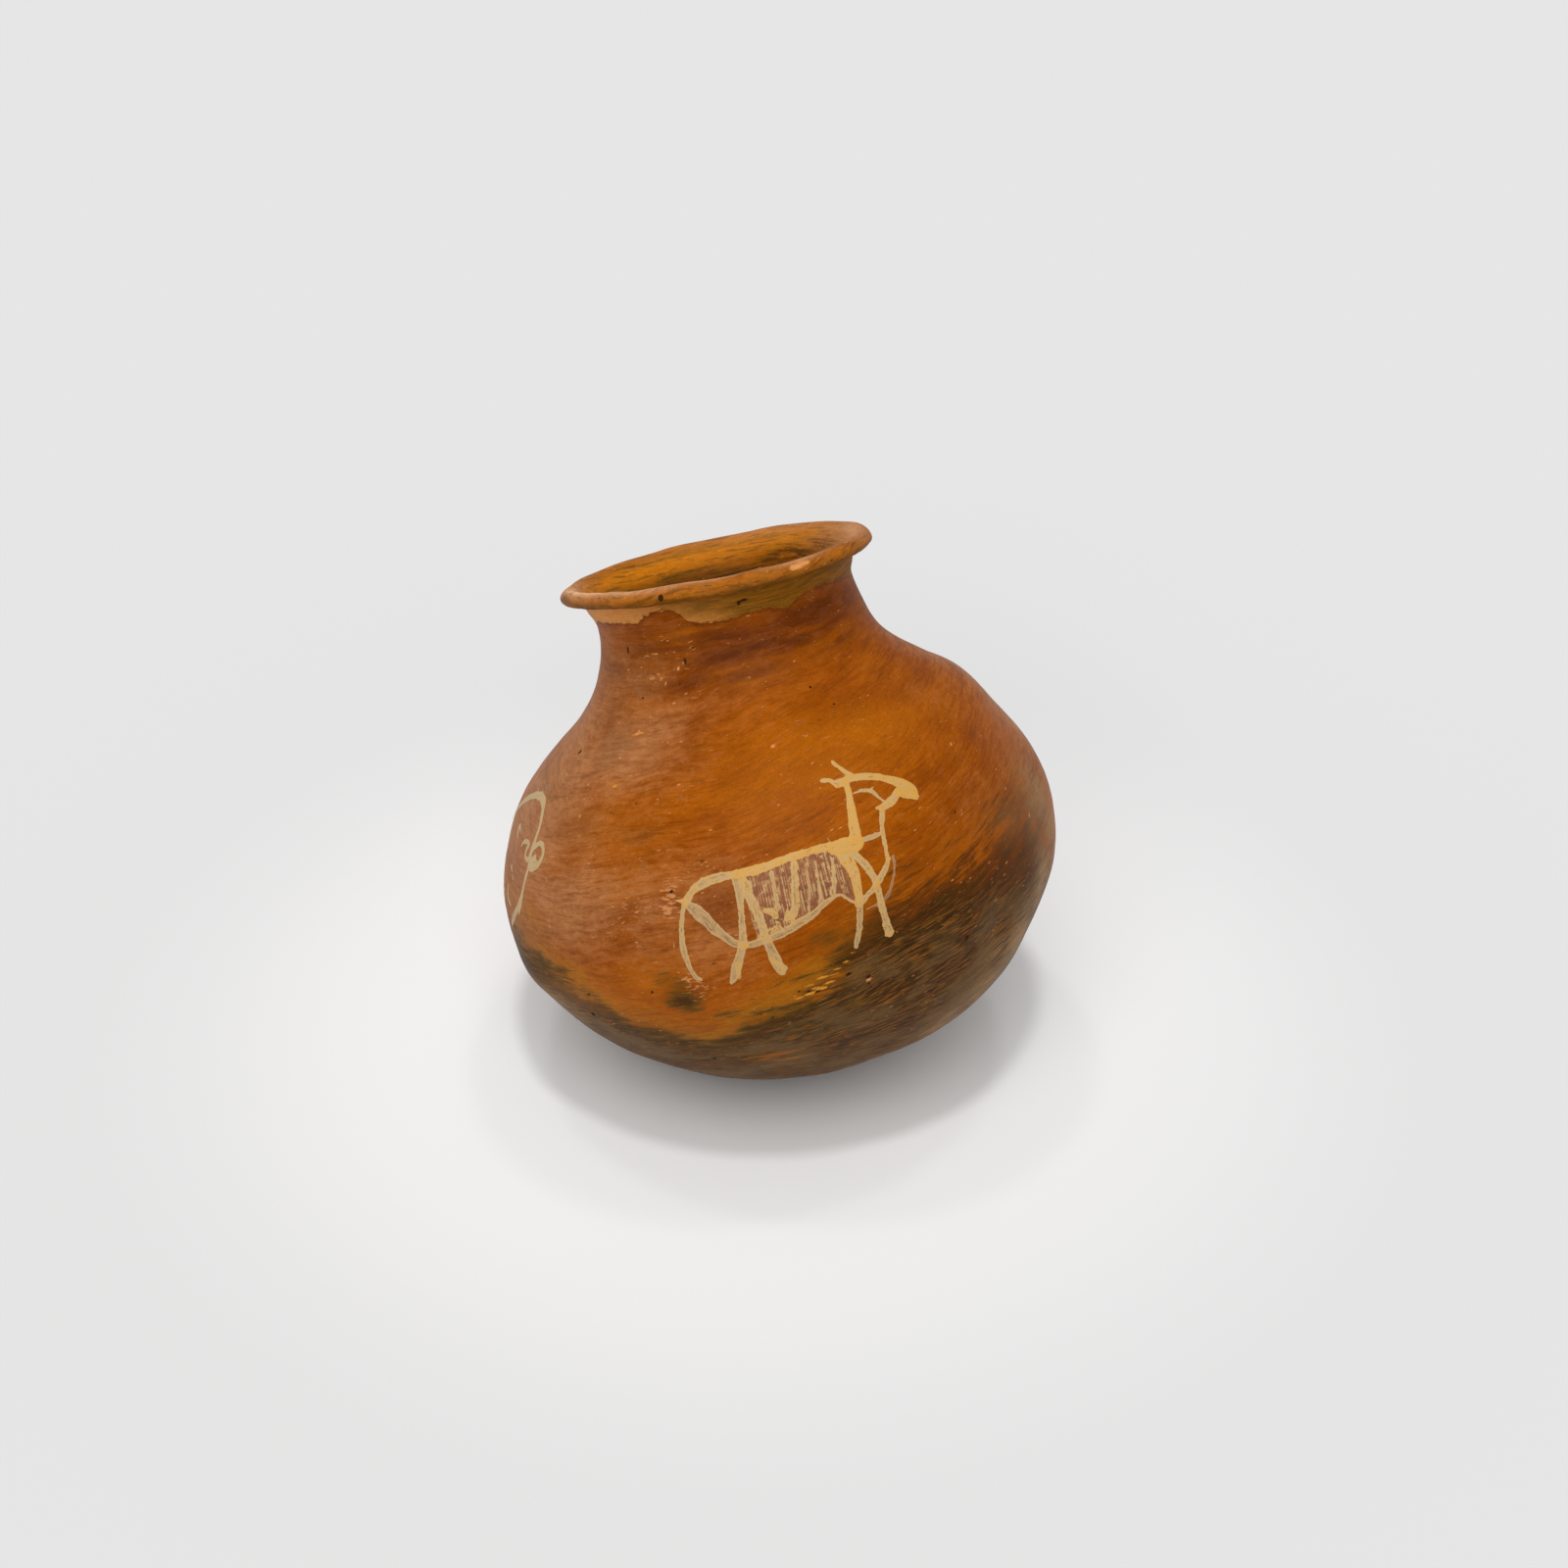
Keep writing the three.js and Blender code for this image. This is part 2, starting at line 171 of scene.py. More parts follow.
# Tan streaks and painted sheen: these spots follow the belly's lower edges seen from the front,
# painting the pale sheen of glancing light there as well as the tan edge of the fire cloud.
TAN_EDGE_AND_SHEEN_SPOTS = (
    (70, 10, 22, 18, 0.8), (54, 10, 14, 10, 0.3), (49, -41, 9, 8, 0.5), (72, -2, 14, 16, 0.8),
    (67, -22, 13, 18, 1), (59, -42, 13, 16, 0.9), (51, -56, 13, 14, 0.8), (41, -67, 14, 12, 0.7),
    (28, -80, 14, 9, 0.6), (-66, -30, 12, 12, 0.5),
)
SCUFFS = (
    (12.8, -31.6, 0.9, 0.6, 3), (48.6, -30.6, 1, 3, 1.2), (-34.4, 91.5, 5, 1.6, 1.4),
    (-30.8, 106, 3.6, 1.8, 1.1), (-17.6, 100.9, 3.2, 1.9, 1.1), (-35.2, 99.7, 11, 1.4, 1.1),
    (-52.6, 95, 3, 4, 0.9), (-39.3, 72.7, 2.8, 1.5, 2), (-24.8, 94, 0.6, 0.5, 3),
    (-31, 89, 0.5, 0.5, 3), (4.8, 61.9, 1, 0.6, 3), (-22, 95.8, 0.6, 0.6, 2.5),
    (-22, -18.5, 8, 8, 1.1), (26, -8, 9, 2.2, 0.6), (-23.2, 16, 4, 9, 1.8), (-33, 12, 16, 8, 0.7),
    (-14, 27, 10, 5, 0.6), (-15.4, 26.5, 3.5, 2, 0.6), (36.6, 3, 6, 2, 0.35),
    (-47, 30, 16, 12, 0.35), (-52, 62, 12, 20, 0.25), (31, 62, 7, 3, 0.5), (19, 47, 3.5, 2.5, 0.5),
    (60, 40, 12, 8, 0.35), (-100, 20, 20, 9, 0.5), (140, 40, 16, 8, 0.5), (46.8, -32, 4, 5, 0.6),
)
SPARKS = (
    (-2.4, -31.6, 2.6, 0.55, 1.5), (0.2, -30.4, 2.4, 0.5, 1.5), (2.8, -29.4, 2.6, 0.5, 1.4),
    (0.4, -26.2, 3.2, 0.5, 1.3), (3.2, -24.4, 3.2, 0.55, 1.4), (6.4, -22.2, 2.6, 0.5, 1.3),
    (8.4, -20.4, 1.8, 0.45, 1.1), (1.2, -33.6, 1.6, 0.5, 1), (4.6, -27.4, 2.8, 0.6, 1.2),
    (5.6, -24.8, 3.4, 0.5, 1.3), (1.6, -28.2, 3.2, 0.6, 1.2), (-39.3, 72.7, 2, 1.2, 0.6),
    (-39.5, 57, 1.2, 0.8, 1.4), (-10, -36.2, 2.4, 0.5, 0.8), (-34.4, 91.5, 4, 1, 0.4),
    (-30.8, 106, 3, 1.2, 0.35), (10, -17.2, 2.2, 0.5, 0.8),
)
FLAMES = (
    (2, -27, 17, 5, 0.2), (-46, -22, 26, 9, 0.35), (-34, -16, 16, 8, 0.45),
    (-39.3, 72.7, 3.4, 2.1, 0.5), (-34.4, 91.5, 5, 1.3, 0.4), (-30.8, 106, 3.6, 1.5, 0.35),
    (-17.6, 100.9, 3.2, 1.6, 0.35), (-35.2, 99.7, 11, 1.2, 0.4), (-52.6, 95, 3, 4, 0.3),
    (-24, 103, 9, 0.9, 0.25), (-19, 106.8, 8, 1, 0.6), (-5, 90, 8, 1, 0.45), (4, 84, 9, 1.2, 0.45),
    (-40.2, 57.2, 2.2, 1, 0.8), (2.3, -31.5, 5.5, 1.1, 1), (6.5, -25.5, 5, 1.3, 0.9),
    (1.2, -33.5, 3, 0.9, 0.8), (3.5, -27, 9, 2.6, 0.4), (-21.5, 98.8, 7, 1.5, 0.2),
    (-40, 96.5, 13, 2.6, 0.25), (-12.2, -58.8, 9, 1.2, 0.7), (-9, -63, 7, 1, 0.7),
    (-16, -61, 5, 1, 0.5), (-7, 61, 3, 1, 0.6), (22, 60, 40, 13, 0.7), (8, 50, 30, 10, 0.5),
    (-42, 46, 20, 10, 0.3), (8, 26, 24, 10, 0.15),
)

# Marks on the lip, given by how far they lie past its lower edge instead of by a height.
LIP_CHIPS = (
    (28.4, 4.4, 3, 1.1, 1.1), (31.8, 4.9, 3.2, 1, 1.1), (30, 4.6, 4.8, 0.9, 1),
    (58.5, 7.6, 1.2, 0.4, 0.8), (62, 7.9, 2.2, 0.5, 0.9),
)
WALL_CHIPS = (
    (12.8, -31.4, 0.8, 0.6, 1.4), (-24.8, 94, 0.35, 0.35, 1.3), (-31, 89, 0.35, 0.35, 1.3),
    (4.8, 61.9, 0.8, 0.4, 1.3), (-22, 95.8, 0.4, 0.4, 1.2), (62, 6, 0.5, 0.4, 1.1),
    (-33, 56, 0.7, 0.4, 1), (48.6, 44, 0.5, 0.4, 1.1),
)
LIP_PITS = (
    (-21, 3.2, 0.9, 0.8, 1), (-12, 3, 3, 0.25, 0.28), (-7, 3.3, 4, 0.25, 0.3),
    (-1.5, 2.8, 2.4, 0.25, 0.28), (44, 2.6, 1, 0.4, 0.4), (-48, 5.2, 0.7, 0.5, 0.4),
)
# The spots at the left of the lip's top, near -94 and -68 degrees, are partly pale bare clay and
# partly a painted highlight where the top faces the light.
LIP_PALE_SPOTS = (
    (-68, 10.2, 30, 4, 1.8), (-94, 6, 16, 5, 0.8), (-36, 7.4, 26, 2, 0.7), (-8, 8, 16, 1.4, 0.6),
    (96, 16, 28, 8, 1.1), (76, 8, 16, 5, 0.3), (30, 7, 14, 1.4, 0.5), (150, 12, 50, 8, 0.25),
)
GREY_SPOTS = (
    (-57, 82, 12, 14, 0.3), (-50, 70, 11, 11, 0.35), (-46, 88, 8, 6, 0.25), (-64, 56, 10, 12, 0.1),
    (-44, 40, 9, 7, 0.12), (-29, 40, 9, 4, 0.35),
)
LIP_GREY_SPOTS = (
    (-80, 3, 12, 3.4, 1), (-60, 1.4, 12, 2.2, 0.7), (10, 1.2, 16, 1.2, 0.4),
    (140, 25, 24, 6, 0.95), (165, 28, 24, 4.5, 0.7), (116, 19, 18, 6, 0.7),
    (-172, 27, 20, 3.5, 0.5),
)

# Pits and nicks in the outside: azimuth, height, radius along the girth, upright radius, depth.
PITS = (
    (8.4, 114.8, 1.7, 0.4, 0.7), (6.2, 114.2, 0.6, 1, 0.6), (-51.2, 102.3, 0.4, 1.6, 0.6),
    (-21.5, 96.1, 0.6, 1.2, 0.6), (-65, 66.9, 0.8, 0.9, 0.7), (-42.1, 84.6, 0.7, 0.6, 0.5),
    (-15.4, 28.9, 1.1, 0.4, 0.45), (-1.9, -28.7, 0.6, 0.5, 0.6), (-0.1, -29.4, 0.6, 0.6, 0.7),
    (1.7, -30.5, 1, 0.5, 0.6), (8.6, -26.5, 0.9, 0.7, 0.8), (12.8, -33.4, 0.6, 0.6, 0.6),
    (62.1, -59.6, 0.8, 0.8, 0.8), (36.6, -27.8, 0.9, 0.9, 0.5), (-50.6, -22.1, 0.7, 0.6, 0.7),
    (-54.8, -33.1, 0.9, 0.9, 0.9), (-32.4, -20.3, 0.6, 0.6, 0.7), (-16.8, -10.3, 0.5, 0.5, 0.6),
    (-29.7, -57.8, 0.7, 0.7, 0.6), (-11.3, -36.4, 1.4, 0.4, 0.6), (-9.1, -38.8, 0.5, 0.5, 0.5),
    (-24.8, 88.5, 0.5, 0.5, 0.4), (-22.5, 19.8, 0.8, 0.7, 0.7), (39, 22, 0.6, 0.6, 0.5),
    (12.8, -30.2, 0.9, 0.9, 0.7), (31, -78, 5, 0.9, 1.3), (-17, 100.5, 0.6, 0.6, 0.4),
    (20, 66, 0.6, 0.5, 0.4), (52, 70, 0.7, 0.6, 0.4),
)
# Broad swellings and hollows of the hand-built wall: azimuth, height, half-sizes, rise.
SWELLINGS = (
    (78, 96, 40, 15, 2.2), (76, 70, 42, 15, 2.4), (54, -58, 42, 26, 3.3), (74, -22, 24, 18, 1.2),
    (76, 38, 30, 16, -1), (88, 59, 36, 12, 2.4), (79, 51, 28, 9, 1.2), (38, -74, 34, 12, 1.5),
    (-80, 30, 34, 18, -1.3), (-71, -18, 20, 12, 2.6), (150, 20, 50, 30, 1.2),
    (-150, 60, 50, 20, -0.8),
)
DIMPLES = ((46.8, -32, 6, 5.5, 1), (-26, -22, 9, 8, 0.25), (70, 8, 22, 18, 0.8))

# Soft spots on the wall that the clay's material reads, each by the name of its mark.
WALL_MARKS = {
    "smudge": SOOT_SPOTS, "dust_and_sheen": DUST_AND_SHEEN_SPOTS, "plum": PLUM_SPOTS, "tan_edge_and_sheen": TAN_EDGE_AND_SHEEN_SPOTS,
    "spark": SPARKS, "scuff": SCUFFS, "flash": FLAMES,
}

# Lamps: azimuth and elevation they shine from, strength, and how wide they look, in degrees.
LAMPS = {
    "front_softbox": (-9, 48, 1.2, 50), "front_lamp": (0, 75, 0.62, 6),
    "back_left_lamp": (-125, 76, 0.16, 6), "back_right_lamp": (125, 76, 0.16, 6),
}
FLOOR_REACH = 12  # half the floor's side, in metres
PAINTED_FLOOR_LIGHT = 1.27  # painted light: how much paler the floor is painted under the jug than far from it, lifting the jug's shadow
PAINTED_LIGHT_SPAN = (0.06, 0.31)  # metres from the jug's middle over which that fades

# Brush strokes on the wall: points along the girth and up from the widest line, and widths.
FRONT_FIGURE = {
    "azimuth": 0,
    "reach": (-48, 68, -24, 57),
    "wash": {"left": -16, "right": 24.5, "load": 0.12},
    "strokes": {
        "far_hind_leg": (0.66, (
            (-15.5, 19.3, 4.4), (-14.6, 15, 4.2), (-13.6, 11, 4), (-12.8, 8, 3.8), (-12, 4.9, 3.7),
            (-11.7, -1.2, 3.6), (-11.1, -5.5, 3.9), (-10.3, -10, 4.6), (-9.6, -14.3, 5),
            (-9, -17.2, 4.2), (-8.6, -18.4, 3))),
        "belly": (0.6, (
            (-20.5, -4.4, 3.5), (-16.5, -4.5, 3.3), (-11.5, -3.6, 3.1), (-6, -2.8, 3.6),
            (1.5, -0.3, 3.8), (8.5, 2.4, 3.1), (13.5, 5.2, 2.5), (18, 6.7, 1.8), (20.5, 6.2, 1.5),
            (23, 3.6, 1.5), (25, 1.6, 1.9))),
        "haunch": (0.62, (
            (-38.5, 14, 3.6), (-35.5, 11, 5.2), (-32.5, 7.5, 5.6), (-29.5, 3, 4.9),
            (-26.5, 0, 4.1), (-23.5, -3, 3.7), (-20, -4.4, 3.5))),
        "hind_leg": (0.66, (
            (-17.5, 21.5, 6.2), (-17.5, 18, 5.1), (-18, 13.5, 3.4), (-18.6, 8, 3.1),
            (-19.5, 2.5, 3.2), (-20.5, -3, 3.5), (-23, -8.5, 3.9), (-25.5, -13, 4.4),
            (-28, -17.3, 3.2), (-29.4, -19.2, 1.8))),
        "toe": (0.7, ((-24.5, -12, 3.2), (-25.6, -17, 2.2))),
        "tail": (0.66, (
            (-40, 15.5, 2.7), (-41.6, 11.5, 2.3), (-43, 6, 2.5), (-44, 0.5, 2.9), (-44.2, -4, 2.9),
            (-44, -9.5, 2.5), (-43.5, -12.4, 2.3), (-42.6, -14.8, 2.5), (-41, -15.8, 2))),
        "tail_root": (0.8, ((-43.6, 16.4, 1.1), (-40, 15.6, 2.6))),
        "rump": (0.76, (
            (-15, 22.4, 3.6), (-22.5, 22.6, 3.6), (-27.5, 22.2, 4.4), (-32.5, 21, 3.9),
            (-36.5, 18.8, 3.4), (-39.6, 15.3, 3.1))),
        "back": (0.92, (
            (31, 24, 3.6), (26, 24.5, 3.5), (20.5, 25, 3.4), (14.5, 25.1, 3.1), (3, 24.5, 3.1),
            (-6.5, 23.1, 3.7), (-16, 22.4, 3.8))),
        "faint_chest": (0.3, (
            (44, 15, 1.5), (43.6, 12, 1.5), (42.2, 8.5, 1.7), (40.5, 5.2, 1.6), (38, 1.8, 1.9),
            (34.6, -0.3, 1.8), (31, -1, 1.3), (28.5, -1.2, 1))),
        "chest": (0.72, (
            (42, 15, 2.3), (40, 12, 2.8), (37, 9, 2.9), (33.5, 6, 3.1), (30, 4, 2.5),
            (27, 2.2, 3.2), (25, 1.4, 2.3))),
        "far_foreleg": (0.74, (
            (29, 20.5, 3.6), (31.5, 16, 3.7), (33, 12.5, 3.6), (34, 9.5, 3.4), (34.5, 6, 3.2),
            (34.5, 2, 3.1), (34.6, -2.5, 3.4), (35, -6.5, 3.4), (35.5, -11, 3.9),
            (36, -13.6, 4.3))),
        "foot": (0.8, ((34.6, -14.2, 1.6), (37.4, -13.6, 1.6))),
        "foreleg": (0.88, (
            (23.6, 24, 6), (25, 20, 5.8), (26.5, 16, 5), (27, 12, 4.5), (26.7, 7.5, 4.1),
            (26.5, 3.5, 3.8))),
        "lower_foreleg": (0.62, (
            (26.5, 3.5, 3.6), (26, 0, 3.3), (25, -4.5, 3.1), (24, -9, 2.8), (22.7, -12.5, 2.6),
            (21.8, -15.2, 2))),
        "far_toe": (0.66, ((-11.6, -12, 2.2), (-9, -15, 2.8), (-7, -16.6, 2.6), (-8.4, -18.2, 2))),
        "low_blob": (0.72, ((-9.2, 7.4, 2.6), (-7.4, 6.6, 3.4), (-6, 4.6, 3))),
        "second_flank": (0.34, ((9.8, 20.8, 1.7), (8.6, 12.1, 1.6), (6.6, 3.7, 1.4))),
        "throat": (0.74, (
            (47, 32.5, 3), (45, 29.5, 2.8), (43.5, 26, 2.5), (42.6, 22, 2.3), (42, 17.5, 2.2),
            (41.6, 14.6, 2.6))),
        "collar": (0.66, ((33, 24, 2.3), (38.5, 24.1, 2.2), (41.8, 24.3, 2.3))),
        "nape": (0.95, (
            (36.6, 45, 3), (35.5, 40.5, 3.3), (34, 35.5, 4), (32.6, 30, 5), (32, 26.5, 5.4),
            (31, 24, 7.3))),
        "withers": (1, ((21.5, 24, 4.6), (27, 24, 6.3), (32, 23.5, 5.5))),
        "jaw": (0.82, ((57, 36.2, 3.4), (52, 34, 3.3), (48, 33, 3), (44.4, 33.2, 1.3))),
        "cheek": (0.62, (
            (37.5, 40.4, 0.9), (41.5, 40.6, 1.7), (45.5, 39.4, 2.3), (47, 37, 1.9),
            (48.6, 34.8, 1.6))),
        "lash": (0.6, ((44.5, 39.6, 1.4), (47.4, 40.6, 0.8))),
        "lower_horn": (0.86, ((26, 47.5, 1.7), (29.5, 47, 1.9), (32, 45.2, 3.1), (35.5, 45, 3.4))),
        "upper_horn": (0.86, ((35, 52, 2.3), (37.5, 49, 2.2), (40.5, 46.3, 2.6))),
        "muzzle": (0.96, ((56.5, 36.2, 3.6), (60, 34.4, 4), (63.4, 33, 4))),
        "muzzle_tip": (0.9, (
            (60.5, 38.6, 3.4), (63.6, 37, 3), (65, 35.2, 2.2), (64.4, 33.6, 2.2),
            (63.8, 32.8, 2.2))),
        "brow": (0.9, (
            (36.5, 45.5, 3), (40, 45.6, 2.9), (45, 44.8, 3), (50, 43.6, 3.2), (54.5, 41.6, 3.5),
            (58, 39.5, 4.4), (60.6, 37.8, 5), (62.6, 35.6, 4.2))),
        "middle_stripe": (0.66, (
            (5, 21.6, 3), (4, 16.4, 3.2), (3.2, 11.9, 3.4), (2.2, 7.3, 3.4), (0.4, 3.7, 3.6),
            (-2.2, 2.8, 2.6))),
        "rear_stripe": (0.5, (
            (-4.2, 20.5, 2.2), (-4.2, 15.8, 1.8), (-4.4, 11.1, 2), (-4.8, 7.4, 2.4))),
        "fore_stripe": (0.52, (
            (20.1, 20.2, 1.8), (19.1, 15.2, 1.9), (18.1, 10.7, 2.3), (16.9, 8.1, 2.4))),
        "mid_flank": (0.42, (
            (13.4, 20.9, 1.6), (12.8, 15.8, 1.5), (12.4, 11.2, 1.6), (11.6, 6.5, 1.4))),
        "flake": (0.95, ((-48.8, -3.2, 0.9), (-48, -1.4, 0.8), (-47.6, 0.4, 0.5))),
        "flake_foot": (0.9, ((-49.6, -3.6, 0.7), (-48.8, -3.3, 0.9))),
        "drip": (0.8, ((24.6, 45.4, 0.9), (24.7, 45, 0.8))),
        "arc_scratch": (0.4, (
            (-39.5, 50.2, 0.6), (-38.7, 53.3, 0.6), (-34.9, 55.1, 0.6), (-29, 55.2, 0.5))),
        "fibre": (0.6, ((21.7, 25.6, 0.6), (20.5, 28, 0.4))),
    },
}
SIDE_FIGURE = {
    "azimuth": -73,
    "reach": (-88, 34, -20, 60),
    "wash": None,
    "strokes": {
        "arch": (0.88, (
            (-30.3, 39.5, 2.53), (-32, 41.6, 2.76), (-25.7, 45.3, 2.99), (-13.8, 49.4, 2.99),
            (-2.4, 51.5, 2.99), (6.4, 51.8, 3.33), (12.2, 50.4, 3.56), (15.3, 47.6, 3.33),
            (17.1, 43.5, 3.1), (17.1, 39.2, 3.1), (15.7, 35.4, 3.22), (14.5, 32.9, 3.45))),
        "loop": (0.86, (
            (14.5, 32.9, 2.99), (18.1, 35.8, 2.53), (23.3, 37.4, 2.53), (26.9, 36, 2.64),
            (27.3, 32.8, 2.88), (24.3, 29.7, 3.1), (19.3, 27.9, 2.99), (15.5, 28.6, 2.53),
            (16.7, 30.7, 2.3), (20.9, 32.5, 2.18))),
        "loop_fill": (0.8, ((17, 29.6, 3.22), (22, 30.6, 2.99))),
        "ear": (0.78, (
            (0.8, 34.3, 1.72), (2.2, 35.8, 1.95), (7.4, 36.6, 2.18), (10.4, 35.8, 2.53),
            (8.4, 33.7, 2.3), (8.4, 31.6, 2.07), (13, 30.5, 2.42), (15.7, 32.7, 2.53))),
        "tick": (0.76, (
            (-9.4, 36.1, 1.72), (-12.2, 38.3, 2.18), (-10.8, 40.2, 2.18), (-7.8, 38.7, 1.72))),
        "throat": (0.8, (
            (15.5, 28, 2.76), (15.1, 26.3, 2.76), (13.6, 23, 2.64), (12, 18, 2.7),
            (9.2, 12.7, 2.9), (6.2, 9.3, 2.5))),
        "shin": (0.7, ((10.4, 16.2, 2.4), (4.2, 10.2, 3.2), (-8.8, 1.9, 3))),
        "spot_1": (0.6, ((-10.8, 24.7, 2.07), (-8.4, 23.5, 1.84))),
        "spot_2": (0.58, ((-6.8, 21.7, 1.72), (-5.4, 20.5, 1.49))),
        "spot_3": (0.6, ((-13, 16.3, 2.76), (-12.6, 12.2, 2.99), (-7.8, 9.7, 1.84))),
        "back": (0.55, (
            (-31, 40.6, 2.76), (-38, 39.4, 3.22), (-46, 37.6, 3.68), (-58, 37, 3.91),
            (-70, 33, 3.68))),
        "tail": (0.55, (
            (-69, 34, 3.45), (-77, 28, 2.99), (-82, 16, 2.99), (-83, 4, 2.76), (-82, -8, 2.3))),
        "far_foreleg": (0.5, ((-28, 38, 2.99), (-30, 24, 2.99), (-27, 14, 2.76), (-32, -3, 2.53))),
        "belly": (0.5, ((-22, 13, 1.84), (-36, 12, 2.99), (-54, 13, 3.22), (-71, 21, 3.45))),
        "hind_leg": (0.58, ((-59, 36, 5.06), (-61, 18, 3.91), (-58, 2, 3.45), (-65, -14, 2.99))),
        "far_hind_leg": (0.52, (
            (-70, 33, 4.37), (-72, 16, 3.45), (-71, -2, 3.22), (-77, -15, 2.76))),
        "rear_stripe": (0.4, ((-50, 37, 2.3), (-49.4, 13, 2.3))),
        "middle_stripe": (0.42, ((-42, 38, 2.76), (-41, 13, 2.76))),
        "hatch_1": (0.22, ((-6.4, 55.4, 0.8), (4.4, 53.9, 0.69))),
        "hatch_2": (0.26, ((-0.8, 56.2, 1.03), (10.6, 54.2, 0.8))),
        "hatch_3": (0.24, ((5.8, 56.2, 1.03), (15.1, 54, 0.69))),
        "hatch_4": (0.22, ((-10.8, 54.5, 0.92), (-1.6, 53.1, 0.69))),
        "hatch_5": (0.2, ((16.5, 50.5, 0.69), (22, 52.8, 0.46))),
    },
}


def clay_colour(red, green, blue):
    """A colour given as it looks, from 0 to 255, in the linear values that materials take."""
    shares = [channel / 255 for channel in (red, green, blue)]
    return [s / 12.92 if s <= 0.04045 else ((s + 0.055) / 1.055) ** 2.4 for s in shares]


def length_setting(name, description, metres):
    return FloatProperty(
        name=name, description=description, default=metres, min=0, unit="LENGTH",
        subtype="DISTANCE", precision=4)


def angle_setting(name, description, degrees):
    return FloatProperty(
        name=name, description=description, default=math.radians(degrees), unit="ROTATION",
        subtype="ANGLE")


def share_setting(name, description, share):
    return FloatProperty(
        name=name, description=description, default=share, min=0, max=1, subtype="FACTOR")


def colour_setting(name, description, *colour):
    return FloatVectorProperty(
        name=name, description=description, default=clay_colour(*colour), min=0, max=1,
        subtype="COLOR")


class JugShape(bpy.types.PropertyGroup):
    """The jug's section and its courses of clay."""

    belly_diameter: length_setting("Belly diameter", "Across the outside at the widest", 0.230)
    belly_height: length_setting("Belly height", "From the base's pole up to the widest", 0.092)
    bowl_fullness: FloatProperty(
        name="Bowl fullness", description="Power of the bowl's curve, where 2 is an ellipse",
        default=1.85, min=1, max=4)
    shoulder_rise: length_setting("Shoulder rise", "Upright half-axis of the shoulder", 0.0895)
    shoulder_turn: angle_setting("Shoulder turn", "How far the shoulder follows its ellipse", 47.5)
    neck_diameter: length_setting("Neck diameter", "Across the outside at the narrowest", 0.105)
    neck_height: length_setting("Neck height", "From the shoulder up to the narrowest", 0.042)
    lip_overhang: length_setting("Lip overhang", "How far the lip stands past the neck", 0.0115)
    lip_height: length_setting("Lip height", "From the narrowest up to the lip's top", 0.018)
    lip_thickness: length_setting("Lip thickness", "Of the rolled edge", 0.006)
    lip_flare: angle_setting("Lip flare", "How far the lip opens from the jug's axis", 62)
    wall_thickness: length_setting("Wall thickness", "Of the belly, shoulder and neck", 0.0065)
    base_thickness: length_setting("Base thickness", "At the base's pole", 0.009)
    bowl_reach: length_setting("Bowl reach", "From the pole along the outside", 0.104)
    lump_height: length_setting("Lump height", "How far the hand-built wall strays", 0.0006)
    lip_sway: length_setting("Lip sway", "How far the lip strays from true", 0.0004)


class JugStance(bpy.types.PropertyGroup):
    """How the jug leans and rests."""

    lean: angle_setting("Lean", "Of the jug's axis from upright", 23.7)
    lean_heading: angle_setting("Lean heading", "Seen from above, anticlockwise from +X", 121.6)
    front_turn: angle_setting("Front turn", "Of the jug about its own axis", 5.1)
    rest_depth: length_setting("Rest depth", "How deep the base is worn flat", 0.0024)


class JugClay(bpy.types.PropertyGroup):
    """The fired clay's colours and finish."""

    orange: colour_setting("Orange clay", "Where the fire was clean", 162, 82, 0)
    red: colour_setting("Red clay", "Where the slip is thicker", 140, 66, 0)
    deep_red: colour_setting("Deep red", "The darkest burnished streaks", 96, 42, 4)
    plum: colour_setting("Plum", "The purple-brown of the neck", 106, 52, 20)
    # Pale dust, also the colour of the painted sheen on the left side and at the belly's edges.
    dust_and_sheen_colour: colour_setting("Dust", "Dull pale bloom on the burnish", 178, 124, 80)
    ochre: colour_setting("Ochre", "Bare pale clay under the lip", 226, 156, 86)
    lip: colour_setting("Lip", "The rolled lip", 164, 96, 24)
    mouth: colour_setting("Mouth", "The inside of the neck", 204, 119, 6)
    flame: colour_setting("Flame", "Bright flashes", 192, 106, 0)
    spark: colour_setting("Spark", "Brightest dashes by the fire clouds", 208, 138, 44)
    flush: colour_setting("Flush", "Ochre round the fire clouds", 162, 99, 10)
    haze: colour_setting("Haze", "Olive edge of the fire clouds", 90, 64, 14)
    smoke: colour_setting("Smoke", "Brown edge of the right fire cloud", 98, 46, 2)
    soot: colour_setting("Soot", "Heart of the fire clouds", 58, 34, 4)
    ember: colour_setting("Ember", "Warm streaks in the soot", 146, 84, 30)
    ash: colour_setting("Ash", "Greyed soot at the base", 102, 76, 42)
    # Also the colour of the painted sheen along the belly's lower edges.
    tan_edge_and_sheen: colour_setting("Rime", "Dusty tan edge of the right fire cloud", 150, 114, 70)
    bare: colour_setting("Bare clay", "Palest places of the lip", 250, 190, 138)
    scuff: colour_setting("Scuff", "Pale rubbed places", 208, 142, 88)
    pit: colour_setting("Pit", "Inside of pits and cracks", 40, 20, 8)
    roughness: share_setting("Roughness", "Of the burnished face", 0.46)
    streak_height: length_setting("Streak height", "Of the burnishing marks", 0.00007)


class JugPaint(bpy.types.PropertyGroup):
    """The cream slip that the animals are painted in."""

    cream: colour_setting("Cream", "Where the slip is thick", 209, 154, 58)
    thin_cream: colour_setting("Thin cream", "Where the clay shows through", 193, 160, 106)
    side_cream: colour_setting("Side cream", "The duller slip of the left animal", 196, 166, 116)
    thickness: length_setting("Thickness", "Of a full stroke", 0.00013)
    raggedness: length_setting("Raggedness", "How far a stroke's edge wanders", 0.00022)


